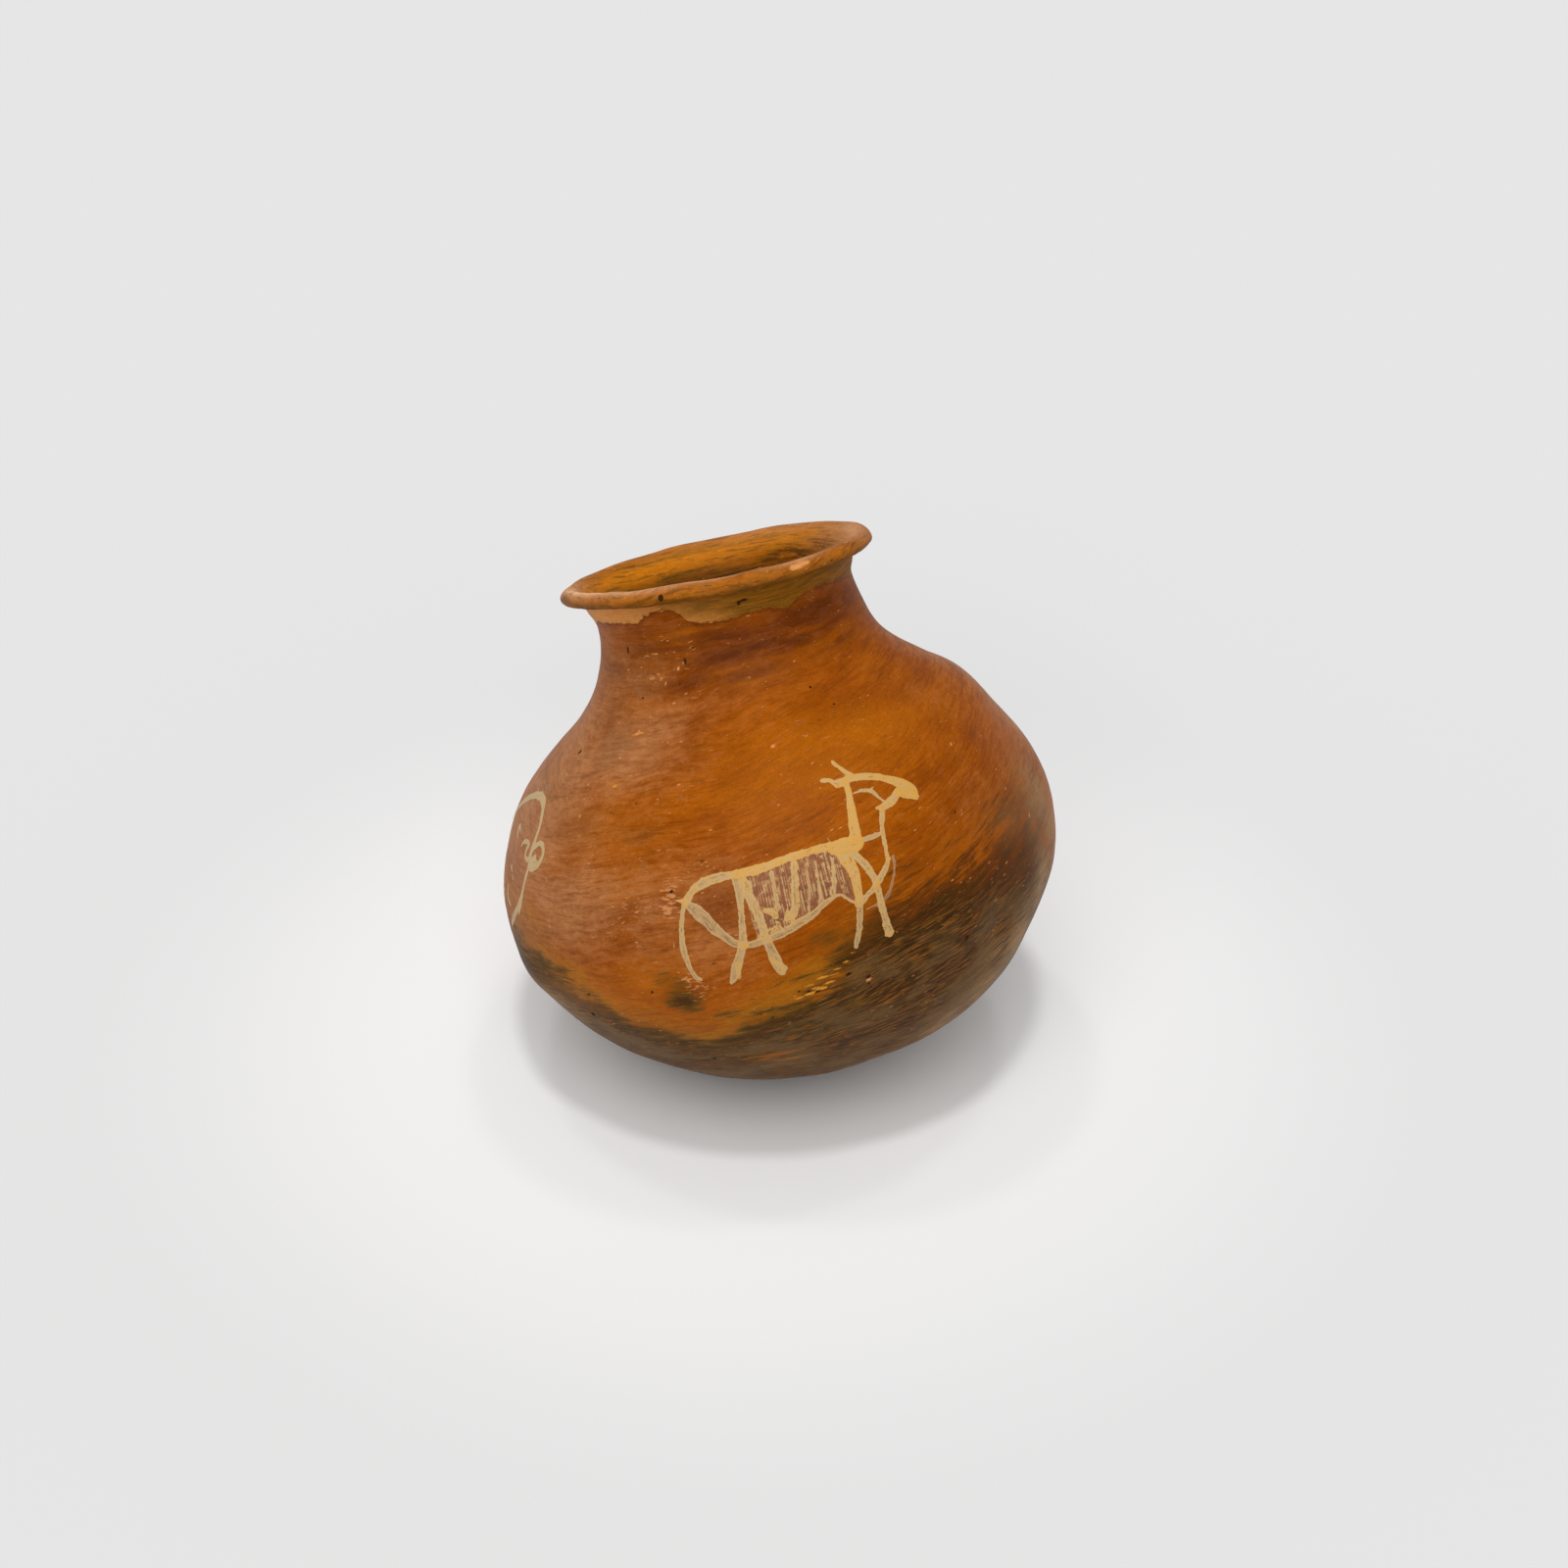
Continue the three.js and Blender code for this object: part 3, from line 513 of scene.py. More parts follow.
class JugStage(bpy.types.PropertyGroup):
    """The floor, the light and the view."""

    floor: colour_setting("Floor", "Colour of the floor", 229, 229, 229)
    backdrop: colour_setting("Backdrop", "Colour beyond the floor", 229, 229, 229)
    sky: share_setting("Sky", "Strength of the light from all round", 0.44)
    lens: FloatProperty(
        name="Lens", description="Focal length for a 36 mm wide picture", default=70.875,
        min=1, unit="CAMERA")
    camera_place: FloatVectorProperty(
        name="Camera place", description="Where the picture is taken from",
        default=(0.00884, -1.06533, 0.81972), unit="LENGTH", subtype="XYZ")
    camera_tilt: angle_setting("Camera tilt", "Below level", 33.35)


def smooth_step(low, high, value):
    share = np.clip((value - low) / (high - low), 0, 1)
    return share * share * (3 - 2 * share)


def hump(away, place, half_width, rise=1):
    """A smooth hump in a distance, as high as its rise at its place."""
    return rise * np.exp(-((away - place) / half_width) ** 2)


def soft_noise(points, seed):
    """Smooth noise from -1 to 1 at each row of points, from random heights on a lattice."""
    cell = np.floor(points).astype(np.int64)
    share = points - cell
    share = share * share * (3 - 2 * share)
    total = np.zeros(len(points))
    for corner in itertools.product((0, 1), repeat=3):
        key = np.bitwise_xor.reduce((cell + np.array(corner)) * LATTICE_PRIMES, axis=1)
        key = (key ^ (seed * SEED_PRIME)) & HASH_MASK
        for shift, prime in HASH_ROUNDS:
            key = ((key ^ (key >> shift)) * prime) & HASH_MASK
        height = (key >> 8) / float(1 << 23) - 1
        total += height * np.prod(np.where(corner, share, 1 - share), axis=1)
    return total


def bezier(corners, count=CURVE_SAMPLES):
    share = np.linspace(0, 1, count)[:, None]
    rows = [np.array(corner)[None, :] for corner in corners]
    while len(rows) > 1:
        rows = [a + (b - a) * share for a, b in zip(rows, rows[1:])]
    return rows[0]


def lengths_along(points):
    steps = np.hypot(*np.diff(points, axis=0).T)
    return np.concatenate([[0], np.cumsum(steps)])


def round_the_girth(azimuth, places):
    """A value that changes with azimuth, between given ones."""
    angles, values = zip(*sorted(places))
    return np.interp(np.degrees(azimuth), angles, values, period=360)


class Skin:
    """The jug's face in millimetres, upright: up the outside, over the lip and down the inside.

    A place on it is an azimuth and a distance along the section from the outside of the pole.
    In its methods, here is three arrays: the azimuths, distances and radii of some points.
    """

    def __init__(self, shape):
        def mm(name):
            return getattr(shape, name) / MM

        half = mm("belly_diameter") / 2
        self.belly_height = mm("belly_height")
        quarter = np.linspace(0, math.pi / 2, CURVE_SAMPLES)
        power = 2 / shape.bowl_fullness
        bowl = np.stack([
            half * np.sin(quarter) ** power,
            self.belly_height * (1 - np.cos(quarter) ** power)], 1)
        turn = np.linspace(0, shape.shoulder_turn, CURVE_SAMPLES)
        shoulder = np.stack([
            half * np.cos(turn), self.belly_height + mm("shoulder_rise") * np.sin(turn)], 1)
        end = shoulder[-1]
        heading = shoulder[-1] - shoulder[-2]
        waist = np.array([mm("neck_diameter") / 2, end[1] + mm("neck_height")])
        sweep = mm("neck_height") / 3
        neck = bezier([
            end, end + heading * sweep / heading[1], waist - np.array([0, sweep]), waist])

        edge_radius = mm("lip_thickness") / 2
        slope = np.array([math.sin(shape.lip_flare), math.cos(shape.lip_flare)])
        rise = np.array([-slope[1], slope[0]])
        lip_centre = waist + np.array([
            mm("lip_overhang") - edge_radius, mm("lip_height") - edge_radius])
        under = lip_centre - rise * edge_radius
        flare = bezier([waist, under + slope * (waist[0] - under[0]) / slope[0], under])
        outside = np.vstack([bowl, shoulder[1:], neck[1:], flare[1:]])
        reach = lengths_along(outside)

        self.bowl_end = mm("bowl_reach")
        self.wall_end = reach[len(bowl) + len(shoulder) - 2]
        self.neck_end = reach[len(bowl) + len(shoulder) + len(neck) - 3]
        self.waist_height = waist[1]
        self.lump_height = mm("lump_height")
        self.lip_sway = mm("lip_sway")

        # The inside is square to the outside, and thickens towards the pole.
        tangent = np.gradient(outside, reach, axis=0)
        tangent /= np.linalg.norm(tangent, axis=1)[:, None]
        depth = np.clip(1 - outside[:, 1] / self.belly_height, 0, 1)
        thickness = mm("wall_thickness") + depth ** 2 * (
            mm("base_thickness") - mm("wall_thickness"))
        inside = outside + thickness[:, None] * np.stack([-tangent[:, 1], tangent[:, 0]], 1)
        inside = inside[reach <= self.neck_end]
        inside[:, 0] = np.maximum(inside[:, 0], 0)
        angle = np.linspace(-math.pi / 2, math.pi / 2, CURVE_SAMPLES // 4)
        edge = lip_centre + edge_radius * (
            np.cos(angle)[:, None] * slope + np.sin(angle)[:, None] * rise)
        upper, throat = edge[-1], inside[-1]
        corner = upper + slope * (throat[0] - upper[0]) / slope[0]
        mouth = bezier([upper, corner, throat])

        path = np.vstack([outside, edge[1:], mouth[1:], inside[-2::-1]])
        along = lengths_along(path)
        keep = np.concatenate([[True], np.diff(along) > 1e-9])
        self.path, self.along = path[keep], along[keep]
        facing = np.gradient(self.path, self.along, axis=0)
        facing /= np.linalg.norm(facing, axis=1)[:, None]
        self.normal = np.stack([facing[:, 1], -facing[:, 0]], 1)
        self.outside_end = reach[-1]
        self.rim_end = along[len(outside) + len(edge) - 2]
        self.outside_reach, self.outside_height = reach, outside[:, 1]
        self.inside_reach = reach[reach <= self.neck_end]
        self.inside_along = along[-1] - lengths_along(inside)

    def inside_of(self, reach):
        """The place inside the wall that lies square behind a place outside."""
        return np.interp(reach, self.inside_reach, self.inside_along)

    def reach_at(self, height):
        """The place outside at a height above the widest line."""
        return np.interp(height + self.belly_height, self.outside_height, self.outside_reach)

    def section(self, along):
        """Radius, height and outward direction of places, before the wall strays."""
        return [np.interp(along, self.along, column) for column in (*self.path.T, *self.normal.T)]

    def offsets(self, here, degrees, height, on_lip=False):
        """How far places lie from a mark's centre, along the girth and along the section."""
        azimuth, along, radius = here
        turn = (azimuth - math.radians(degrees) + math.pi) % (2 * math.pi) - math.pi
        centre = self.outside_end + height if on_lip else self.reach_at(height)
        return turn * radius, along - centre

    def spots(self, here, places, on_lip=False):
        """The strongest of some soft-edged spots at each place."""
        total = 0
        for degrees, height, half_length, half_height, strength in places:
            across, up = self.offsets(here, degrees, height, on_lip)
            away = (across / half_length) ** 2 + (up / half_height) ** 2
            total = np.maximum(total, strength * np.exp(-away))
        return total

    def hollows(self, here, places, steepness=3, on_lip=False):
        """The deepest of some hollows with firm edges at each place."""
        total = np.zeros(len(here[0]))
        for degrees, height, half_length, half_height, depth in places:
            across, up = self.offsets(here, degrees, height, on_lip)
            near = np.abs(up) < 3 * half_height + 1
            away = np.hypot(
                across[near] / (half_length + HOLLOW_MARGIN),
                up[near] / (half_height + HOLLOW_MARGIN))
            total[near] = np.maximum(total[near], depth * np.exp(-away ** steepness))
        return total

    def strays(self, azimuth, along):
        """How far the hand-built wall stands proud of its section at each place."""
        radius = self.section(along)[0]
        here = (azimuth, along, radius)
        flat = np.stack([radius * np.sin(azimuth), -radius * np.cos(azimuth), along], 1)
        lift = self.lump_height * sum(
            share * soft_noise(flat / cell, seed) for share, cell, seed in LUMPS)
        for height, cell, seed in RIPPLES:
            lift += height * soft_noise(flat / cell, seed)
        past_edge, past_rim = along - self.outside_end, along - self.rim_end
        lift += hump(past_rim, *LIP_RIDGE) * (1 + 0.5 * soft_noise(flat / (5, 5, 40), 6))
        lift += hump(past_edge, *TORN_EDGE) * np.clip(
            soft_noise(flat / (1.8, 1.8, 1.3), 7), -1, 0.2)
        lift += (hump(past_edge, *LIP_BEAD) - hump(past_edge, *LIP_GROOVE)) * (
            1 + 0.25 * soft_noise(flat / (8, 8, 30), 8))
        lift -= hump(past_edge, *NECK_TUCK)
        for degrees, height, half_length, half_height, rise in SWELLINGS:
            across, up = self.offsets(here, degrees, height)
            lift += rise * np.exp(-(across / half_length) ** 2 - (up / half_height) ** 2)
        lift -= self.hollows(here, PITS)
        lift -= self.hollows(here, LIP_PITS, on_lip=True)
        lift -= self.hollows(here, DIMPLES, 2)
        lift -= self.spots(here, LIP_CHIPS, True) * CHIP_DEPTH
        return lift

    def place(self, azimuth, along, proud=0):
        """Points of the finished wall, raised by how far something on it stands proud."""
        radius, height, out, up = self.section(along)
        lift = self.strays(azimuth, along) + proud
        circle = np.stack([np.cos(azimuth), np.sin(azimuth), np.zeros(len(azimuth))], 1)
        near_lip = smooth_step(*SWAY_SPAN, height - self.waist_height)
        sway = self.lip_sway * near_lip
        radius = radius + out * lift + sway * soft_noise(circle * 1.7 + 5, 9)
        height = height + up * lift + near_lip * round_the_girth(azimuth, LIP_RISE) + sway * (
            soft_noise(circle * 1.3 + 9, 10) + 0.5 * soft_noise(circle * 4.1, 11))
        return np.stack([radius * np.sin(azimuth), -radius * np.cos(azimuth), height], 1)

    def marks(self, azimuth, along):
        """What the clay's material reads at each place: its coordinates and its marks."""
        radius, height, _, _ = self.section(along)
        here = (azimuth, along, radius)
        rise = height - self.belly_height
        past_edge, past_rim = along - self.outside_end, along - self.rim_end
        outside = 1 - smooth_step(-0.5, 0.5, past_edge)
        # Burnishing runs along the girth, and climbs to the right on the right flank.
        climb = -CLIMB * np.sin(azimuth - math.radians(CLIMB_AZIMUTH)) * np.clip(
            (radius - CLIMB_RADIUS) / CLIMB_RADIUS, 0, 1)
        wall = np.stack([radius * np.sin(azimuth), -radius * np.cos(azimuth), along + climb], 1)
        flat = np.stack([wall[:, 0], wall[:, 1], along], 1)
        cloud_edge = round_the_girth(azimuth, FIRE_CLOUD_EDGE) + 2.5 * soft_noise(flat / 11, 21)
        soot = (cloud_edge - rise) / round_the_girth(azimuth, FIRE_CLOUD_SOFTNESS)
        band = rise - round_the_girth(azimuth, BAND_EDGE) + 0.5 * soft_noise(flat / 2.4, 22)
        return {
            "wall": wall,
            "soot": np.clip(soot, -2, 2.2) * outside - 2 * (1 - outside),
            "band": np.where(past_edge > 0, BAND_LIMIT, np.clip(band, -BAND_LIMIT, BAND_LIMIT)),
            "flush": round_the_girth(azimuth, FLUSH_SHARE),
            "lip": smooth_step(-3.2, 0.2, past_edge),
            "mouth": smooth_step(-1, 6, past_rim),
            # painted shade deeper down inside the mouth
            "deep": smooth_step(5, 26, past_rim),
            # painted shade in the crease under the lip's rolled edge
            "painted_shade_under_bead": hump(past_edge, -1.7, 0.8),
            # painted shade on the lower face of the lip's rolled edge
            "under": hump(past_edge, 1.4, 1.3),
            # painted highlight along the rim's inner edge
            "painted_rim_highlight": hump(past_rim, -0.3, 0.6),
            "pale": np.maximum(
                self.spots(here, PALE_SPOTS) * outside, self.spots(here, LIP_PALE_SPOTS, True)),
            "grey": np.maximum(
                self.spots(here, GREY_SPOTS), self.spots(here, LIP_GREY_SPOTS, True)),
            "chip": smooth_step(0.3, 0.6, np.maximum(
                self.spots(here, LIP_CHIPS, True), self.spots(here, WALL_CHIPS))),
            "pit": np.maximum(
                self.hollows(here, PITS), self.hollows(here, LIP_PITS, on_lip=True)),
            **{name: self.spots(here, places) for name, places in WALL_MARKS.items()},
        }


def stance_of(skin, stance):
    """The move from the upright frame in millimetres to the leaning jug in metres."""
    tilt = stance.lean
    drop = skin.path[:, 0] * math.sin(tilt) - skin.path[:, 1] * math.cos(tilt)
    low = int(np.argmax(drop))
    radius, height = skin.path[low]
    reach = float(height * math.sin(tilt) + radius * math.cos(tilt))
    heading = Vector((math.cos(stance.lean_heading), math.sin(stance.lean_heading), 0))
    pole = -reach * heading
    pole.z = float(drop[low]) - stance.rest_depth / MM
    axis = Vector((-heading.y, heading.x, 0))
    return (
        Matrix.Scale(MM, 4) @ Matrix.Translation(pole) @ Matrix.Rotation(tilt, 4, axis)
        @ Matrix.Rotation(stance.front_turn, 4, "Z"))


def write_marks(mesh, marks):
    for name, values in marks.items():
        kind, field = ("FLOAT_VECTOR", "vector") if values.ndim == 2 else ("FLOAT", "value")
        attribute = mesh.attributes.new(name, kind, "POINT")
        attribute.data.foreach_set(field, values.astype(np.float32).ravel())


def read_all(items, field, width=1, kind=float):
    """One field of every item of a mesh, as an array with a row for each."""
    values = np.empty(len(items) * width, kind)
    items.foreach_get(field, values)
    return values.reshape(-1, width) if width > 1 else values


def stations_between(start, end, step):
    count = max(1, round(abs(end - start) / step))
    return list(np.linspace(start, end, count + 1))


def smooth_line(points, spacing):
    """A smooth line through points, each a row of x, y and width."""
    points = np.array(points, float)
    padded = np.vstack([2 * points[0] - points[1], points, 2 * points[-1] - points[-2]])
    rows = []
    for before, start, end, after in zip(padded, padded[1:], padded[2:], padded[3:]):
        count = max(2, int(math.dist(start[:2], end[:2]) / spacing))
        share = np.linspace(0, 1, count, endpoint=False)[:, None]
        rows.append(0.5 * (
            2 * start + (end - before) * share
            + (2 * before - 5 * start + 4 * end - after) * share ** 2
            + (3 * start - before - 3 * end + after) * share ** 3))
    return np.vstack([*rows, points[-1:]])


class PaintSheet:
    """A sheet over a figure that brush strokes are laid on, as a grid of points on the wall."""

    def __init__(self, reach, paint, seed):
        left, right, low, high = reach
        self.columns = round((right - left) / PAINT_STEP) + 1
        self.rows = round((high - low) / PAINT_STEP) + 1
        self.x = np.linspace(left, right, self.columns)
        self.y = np.linspace(low, high, self.rows)
        self.grid = np.stack(np.meshgrid(self.x, self.y, indexing="ij"), -1)
        shape = self.grid.shape[:2]
        self.edge = np.full(shape, BARE)  # distance outside the paint, and less than 0 in it
        self.load = np.zeros(shape)
        self.height = np.zeros(shape)
        self.rim = np.zeros(shape)
        self.stroke = np.zeros((*shape, 3))
        self.thickness = paint.thickness / MM
        self.seed = seed
        flat = np.concatenate([self.grid, np.zeros((*shape, 1))], -1).reshape(-1, 3)
        wander = sum(
            share * soft_noise(flat / length, seed + i)
            for i, (share, length) in enumerate(RAGGED_WAVES))
        self.wander = paint.raggedness / MM * wander.reshape(shape)

    def lay(self, load, points):
        """Lays one brush stroke over what is there."""
        line = smooth_line(points, STROKE_SPACING)
        self.seed += 1
        reach = lengths_along(line[:, :2])
        swell = 1 + SWELL_SHARE * soft_noise(
            np.stack([reach / SWELL_LENGTH, reach * 0, reach * 0], 1), self.seed)
        half = np.maximum(line[:, 2] / 2 * swell - STROKE_TRIM, THINNEST_STROKE / 2)
        margin = half.max() + STROKE_MARGIN
        spot = tuple(
            slice(*np.searchsorted(values, (ends.min() - margin, ends.max() + margin)))
            for values, ends in ((self.x, line[:, 0]), (self.y, line[:, 1])))
        here = self.grid[spot]
        outside = np.full(here.shape[:2], BARE)
        place = np.zeros((*outside.shape, 3))
        for i in range(len(line) - 1):
            start, run = line[i, :2], line[i + 1, :2] - line[i, :2]
            away = here - start
            share = np.clip(away @ run / max(run @ run, 1e-9), 0, 1)
            gap = away - share[..., None] * run
            distance = np.hypot(*np.moveaxis(gap, -1, 0))
            own = distance - (half[i] + share * (half[i + 1] - half[i]))
            side = np.sign(gap @ np.array([-run[1], run[0]]))
            nearer = own < outside
            outside = np.where(nearer, own, outside)
            at = np.stack([
                reach[i] + share * (reach[i + 1] - reach[i]), side * distance,
                np.full(share.shape, STROKE_SHIFT * self.seed)], -1)
            place = np.where(nearer[..., None], at, place)
        self.put(spot, outside + self.wander[spot], load, place)

    def put(self, spot, outside, load, place):
        """Adds a patch of paint, given how far each point lies outside it."""
        painted = outside < 0
        self.edge[spot] = np.minimum(self.edge[spot], outside)
        before = self.load[spot]
        self.load[spot] = np.where(painted, 1 - (1 - before * UNDER_SHARE) * (1 - load), before)
        depth = np.clip(-outside, 0, None)
        own = self.thickness * (THIN_SHARE + (1 - THIN_SHARE) * load) * (
            1 - np.exp(-depth / EDGE_ROUND) + hump(depth, *EDGE_RIDGE))
        own = np.where(painted, own, 0)
        under = self.height[spot]
        self.height[spot] = np.maximum(under, own) + PILE_UP * np.minimum(under, own)
        self.rim[spot] = np.where(painted, hump(depth, *RIM_PLACE), self.rim[spot])
        self.stroke[spot] = np.where(painted[..., None], place, self.stroke[spot])

    def wash(self, left, right, load, strokes):
        """A thin wash between the figure's back and belly, with dry-brushed hatching on it."""
        top, low = (
            np.interp(self.x, *line[np.argsort(line[:, 0])][:, :2].T)
            for line in (smooth_line(strokes[name][1], 0.5) for name in ("back", "belly")))
        x, y = np.moveaxis(self.grid, -1, 0)
        lean = x + 0.10 * (y - 12)
        outside = np.maximum.reduce([
            y - top[:, None], low[:, None] - y, left - lean, lean - right])
        self.put(np.s_[:, :], outside, load, np.stack([y, x, np.full(x.shape, 3.1)], -1))
        rng = np.random.default_rng(5)
        across = left + 1.2
        while across < right - 0.8:
            width = rng.uniform(0.4, 0.8)
            foot = across + rng.uniform(-0.8, 0.4)
            start = np.interp(across, self.x, top) - rng.uniform(0.4, 3)
            end = np.interp(foot, self.x, low) + rng.uniform(0.2, 3)
            bend = rng.uniform(-0.5, 0.5)
            middle = ((across + foot) / 2 + bend, (start + end) / 2, width * rng.uniform(0.8, 1.3))
            if start > end + 2:
                self.lay(rng.uniform(0.2, 0.6), (
                    (across, start, width), middle, (foot, end, width * 0.7)))
            across += rng.uniform(0.4, 1.0)
        for _ in range(CROSS_SCRATCHES):
            x0 = rng.uniform(left + 2, right - 6)
            y0 = rng.uniform(np.interp(x0, self.x, low) + 2, np.interp(x0, self.x, top) - 2)
            self.lay(rng.uniform(0.12, 0.3), (
                (x0, y0, 0.42), (x0 + rng.uniform(1.5, 6), y0 + rng.uniform(-0.8, 1.2), 0.4)))
        for _ in range(BELLY_DABS):
            x0 = rng.uniform(left + 3, left + 17)
            y0 = np.interp(x0, self.x, low) + rng.triangular(0.4, 1.5, 7.5)
            self.lay(rng.uniform(0.4, 0.8), (
                (x0, y0, rng.uniform(0.7, 1.2)),
                (x0 + rng.uniform(-0.9, 0.9), y0 + rng.uniform(-1.2, 1.2), 0.8)))


class Bench:
    """What the pieces are made with: the jug's skin, its stance and the scene they go in."""

    def __init__(self, context):
        self.scene = context.scene
        self.skin = Skin(self.scene.jug_shape)
        self.stance = np.array(stance_of(self.skin, self.scene.jug_stance))
        self.clay = self.scene.jug_clay
        self.group = bpy.data.node_groups.get("burnished_clay") or clay_group(self.clay)

    def place(self, azimuth, along, proud=0):
        """Points of the finished wall, leaned and worn off at the floor, in metres."""
        points = self.skin.place(azimuth, along, proud) @ self.stance[:3, :3].T
        points += self.stance[:3, 3]
        height = points[:, 2]
        points[:, 2] = np.where(height < -WORN, 0, np.where(
            height < WORN, (height + WORN) ** 2 / (4 * WORN), height))
        return points

    def add_piece(self, node, mesh, material):
        """Links a finished mesh as the piece of the jug that stands for a CAD node."""
        mesh.materials.append(material)
        mesh.shade_smooth()
        piece = bpy.data.objects.new(mesh.name, mesh)
        self.scene.collection.objects.link(piece)
        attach(piece, "root")
        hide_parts(node)

    def throw_course(
            self, node, stations, closed=True, finish="burnished_wall"):
        """One course of clay: its section spun round the axis, cut fine and pushed out of true."""
        course = bmesh.new()
        along_layer = course.verts.layers.float.new("along")
        ring = []
        for station in stations:
            radius, height, _, _ = self.skin.section(station)
            ring.append(course.verts.new((0, -radius, height)))
            ring[-1][along_layer] = station
        pairs = list(zip(ring, ring[1:])) + ([(ring[-1], ring[0])] if closed else [])
        edges = [course.edges.new(pair) for pair in pairs]
        bmesh.ops.spin(
            course, geom=ring + edges, cent=(0, 0, 0), axis=(0, 0, 1), dvec=(0, 0, 0),
            angle=2 * math.pi, steps=SPIN_STEPS, use_merge=True, use_duplicate=False)
        bmesh.ops.remove_doubles(course, verts=course.verts, dist=1e-4)
        on_skin = [
            edge for edge in course.edges
            if abs(edge.verts[0][along_layer] - edge.verts[1][along_layer]) < SEAM_RISE]
        bmesh.ops.subdivide_edges(course, edges=on_skin, cuts=CUTS, use_grid_fill=True)
        bmesh.ops.recalc_face_normals(course, faces=course.faces)
        mesh = bpy.data.meshes.new(node + "_clay")
        course.to_mesh(mesh)
        course.free()

        spun = read_all(mesh.vertices, "co", 3)
        along = read_all(mesh.attributes["along"].data, "value")
        azimuth = np.arctan2(spun[:, 0], -spun[:, 1])
        mesh.vertices.foreach_set("co", self.place(azimuth, along).ravel())
        write_marks(mesh, self.skin.marks(azimuth, along))
        material = bpy.data.materials.get(finish) or clay_material(finish, self.group)
        self.add_piece(node, mesh, material)
        self.join_shading(mesh, azimuth, along)

    def join_shading(self, mesh, azimuth, along):
        """Turns a course's normals to the whole jug's face, so that no seam shows."""
        radius = np.maximum(self.skin.section(along)[0], 0.5)
        turn = NUDGE / radius
        across = self.place(azimuth + turn, along) - self.place(azimuth - turn, along)
        up = self.place(azimuth, np.minimum(along + NUDGE, self.skin.along[-1])) - self.place(
            azimuth, np.maximum(along - NUDGE, 0))
        facing = np.cross(across, up)
        facing /= np.maximum(np.linalg.norm(facing, axis=1), 1e-12)[:, None]
        facing[radius < POLE_RADIUS] = 0
        corners = read_all(mesh.loops, "vertex_index", kind=np.int32)
        starts = read_all(mesh.polygons, "loop_start", kind=np.int32)
        reach = along[corners]
        rise = np.maximum.reduceat(reach, starts) - np.minimum.reduceat(reach, starts)
        sides = np.diff(np.append(starts, len(corners)))
        on_seam = np.repeat(rise > SEAM_RISE, sides)
        own = np.repeat(read_all(mesh.polygons, "normal", 3), sides, axis=0)
        mesh.normals_split_custom_set(np.where(on_seam[:, None], own, facing[corners]))

    def throw_coil(self, node, start, end, closed=True):
        """A course whose section goes up its outside and down its inside."""
        inside = self.skin.inside_of(end), self.skin.inside_of(start)
        self.throw_course(node, stations_between(start, end, OUTER_STEP) + stations_between(
            *inside, INNER_STEP), closed)

    def throw_coils(self, name, start, end):
        """As many like coils, one on another, as the frame has nodes of that name."""
        count = sum(node.startswith(name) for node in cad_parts)
        joints = np.linspace(start, end, count + 1)
        for number, ends in enumerate(zip(joints, joints[1:]), 1):
            self.throw_coil(f"{name}_{number}", *ends)

    def paint(self, node, figure, thick, thin):
        """One animal: the painted part of its sheet, rounded at its edges and laid on the wall."""
        sheet = PaintSheet(figure["reach"], self.scene.jug_paint, 100 + abs(figure["azimuth"]))
        strokes = figure["strokes"]
        if figure["wash"]:
            sheet.wash(strokes=strokes, **figure["wash"])
        for load, points in strokes.values():
            sheet.lay(load, points)

        slip = bmesh.new()
        bmesh.ops.create_grid(
            slip, x_segments=sheet.columns - 1, y_segments=sheet.rows - 1, size=0.5)
        slip.verts.index_update()
        spots = np.array([vert.co[:2] for vert in slip.verts]) + 0.5
        where = tuple(np.rint(spots * (sheet.columns - 1, sheet.rows - 1)).astype(int).T)
        edge = sheet.edge[where]
        bare = edge >= 0
        doomed = [face for face in slip.faces if all(bare[vert.index] for vert in face.verts)]

        # Points just outside the paint are drawn in to its edge.
        slopes = np.stack(np.gradient(sheet.edge, sheet.x, sheet.y), -1)[where]
        slopes /= np.maximum(np.linalg.norm(slopes, axis=1), 0.3)[:, None]
        flat = sheet.grid[where] - slopes * np.clip(edge, 0, PAINT_STEP * 1.2)[:, None]
        number = slip.verts.layers.int.new("number")
        for index, vert in enumerate(slip.verts):
            vert.co = (*flat[index], 0)
            vert[number] = index
        bmesh.ops.delete(slip, geom=doomed, context="FACES")
        raised = bmesh.ops.extrude_face_region(slip, geom=slip.faces[:], use_keep_orig=True)
        for item in raised["geom"]:
            if isinstance(item, bmesh.types.BMVert):
                item.co.z = 1
        bmesh.ops.recalc_face_normals(slip, faces=slip.faces)
        mesh = bpy.data.meshes.new(node + "_slip")
        slip.to_mesh(mesh)
        slip.free()

        x, y, is_top = read_all(mesh.vertices, "co", 3).T
        index = read_all(mesh.attributes["number"].data, "value", kind=np.int32)
        load, rim, height, stroke = (
            values[where][index] for values in (
                sheet.load, sheet.rim, sheet.height, sheet.stroke))
        azimuth = math.radians(figure["azimuth"]) + x / self.skin.path[:, 0].max()
        along = self.skin.reach_at(y)
        proud = np.where(is_top > 0.5, SLIP_LIFT + height, -SLIP_ROOT)
        mesh.vertices.foreach_set("co", self.place(azimuth, along, proud).ravel())
        marks = self.skin.marks(azimuth, along)
        write_marks(mesh, {**marks, "load": load, "rim": rim, "stroke": stroke})
        material = slip_material(mesh.name, self.group, self.clay, thick, thin)
        self.add_piece(node, mesh, material)


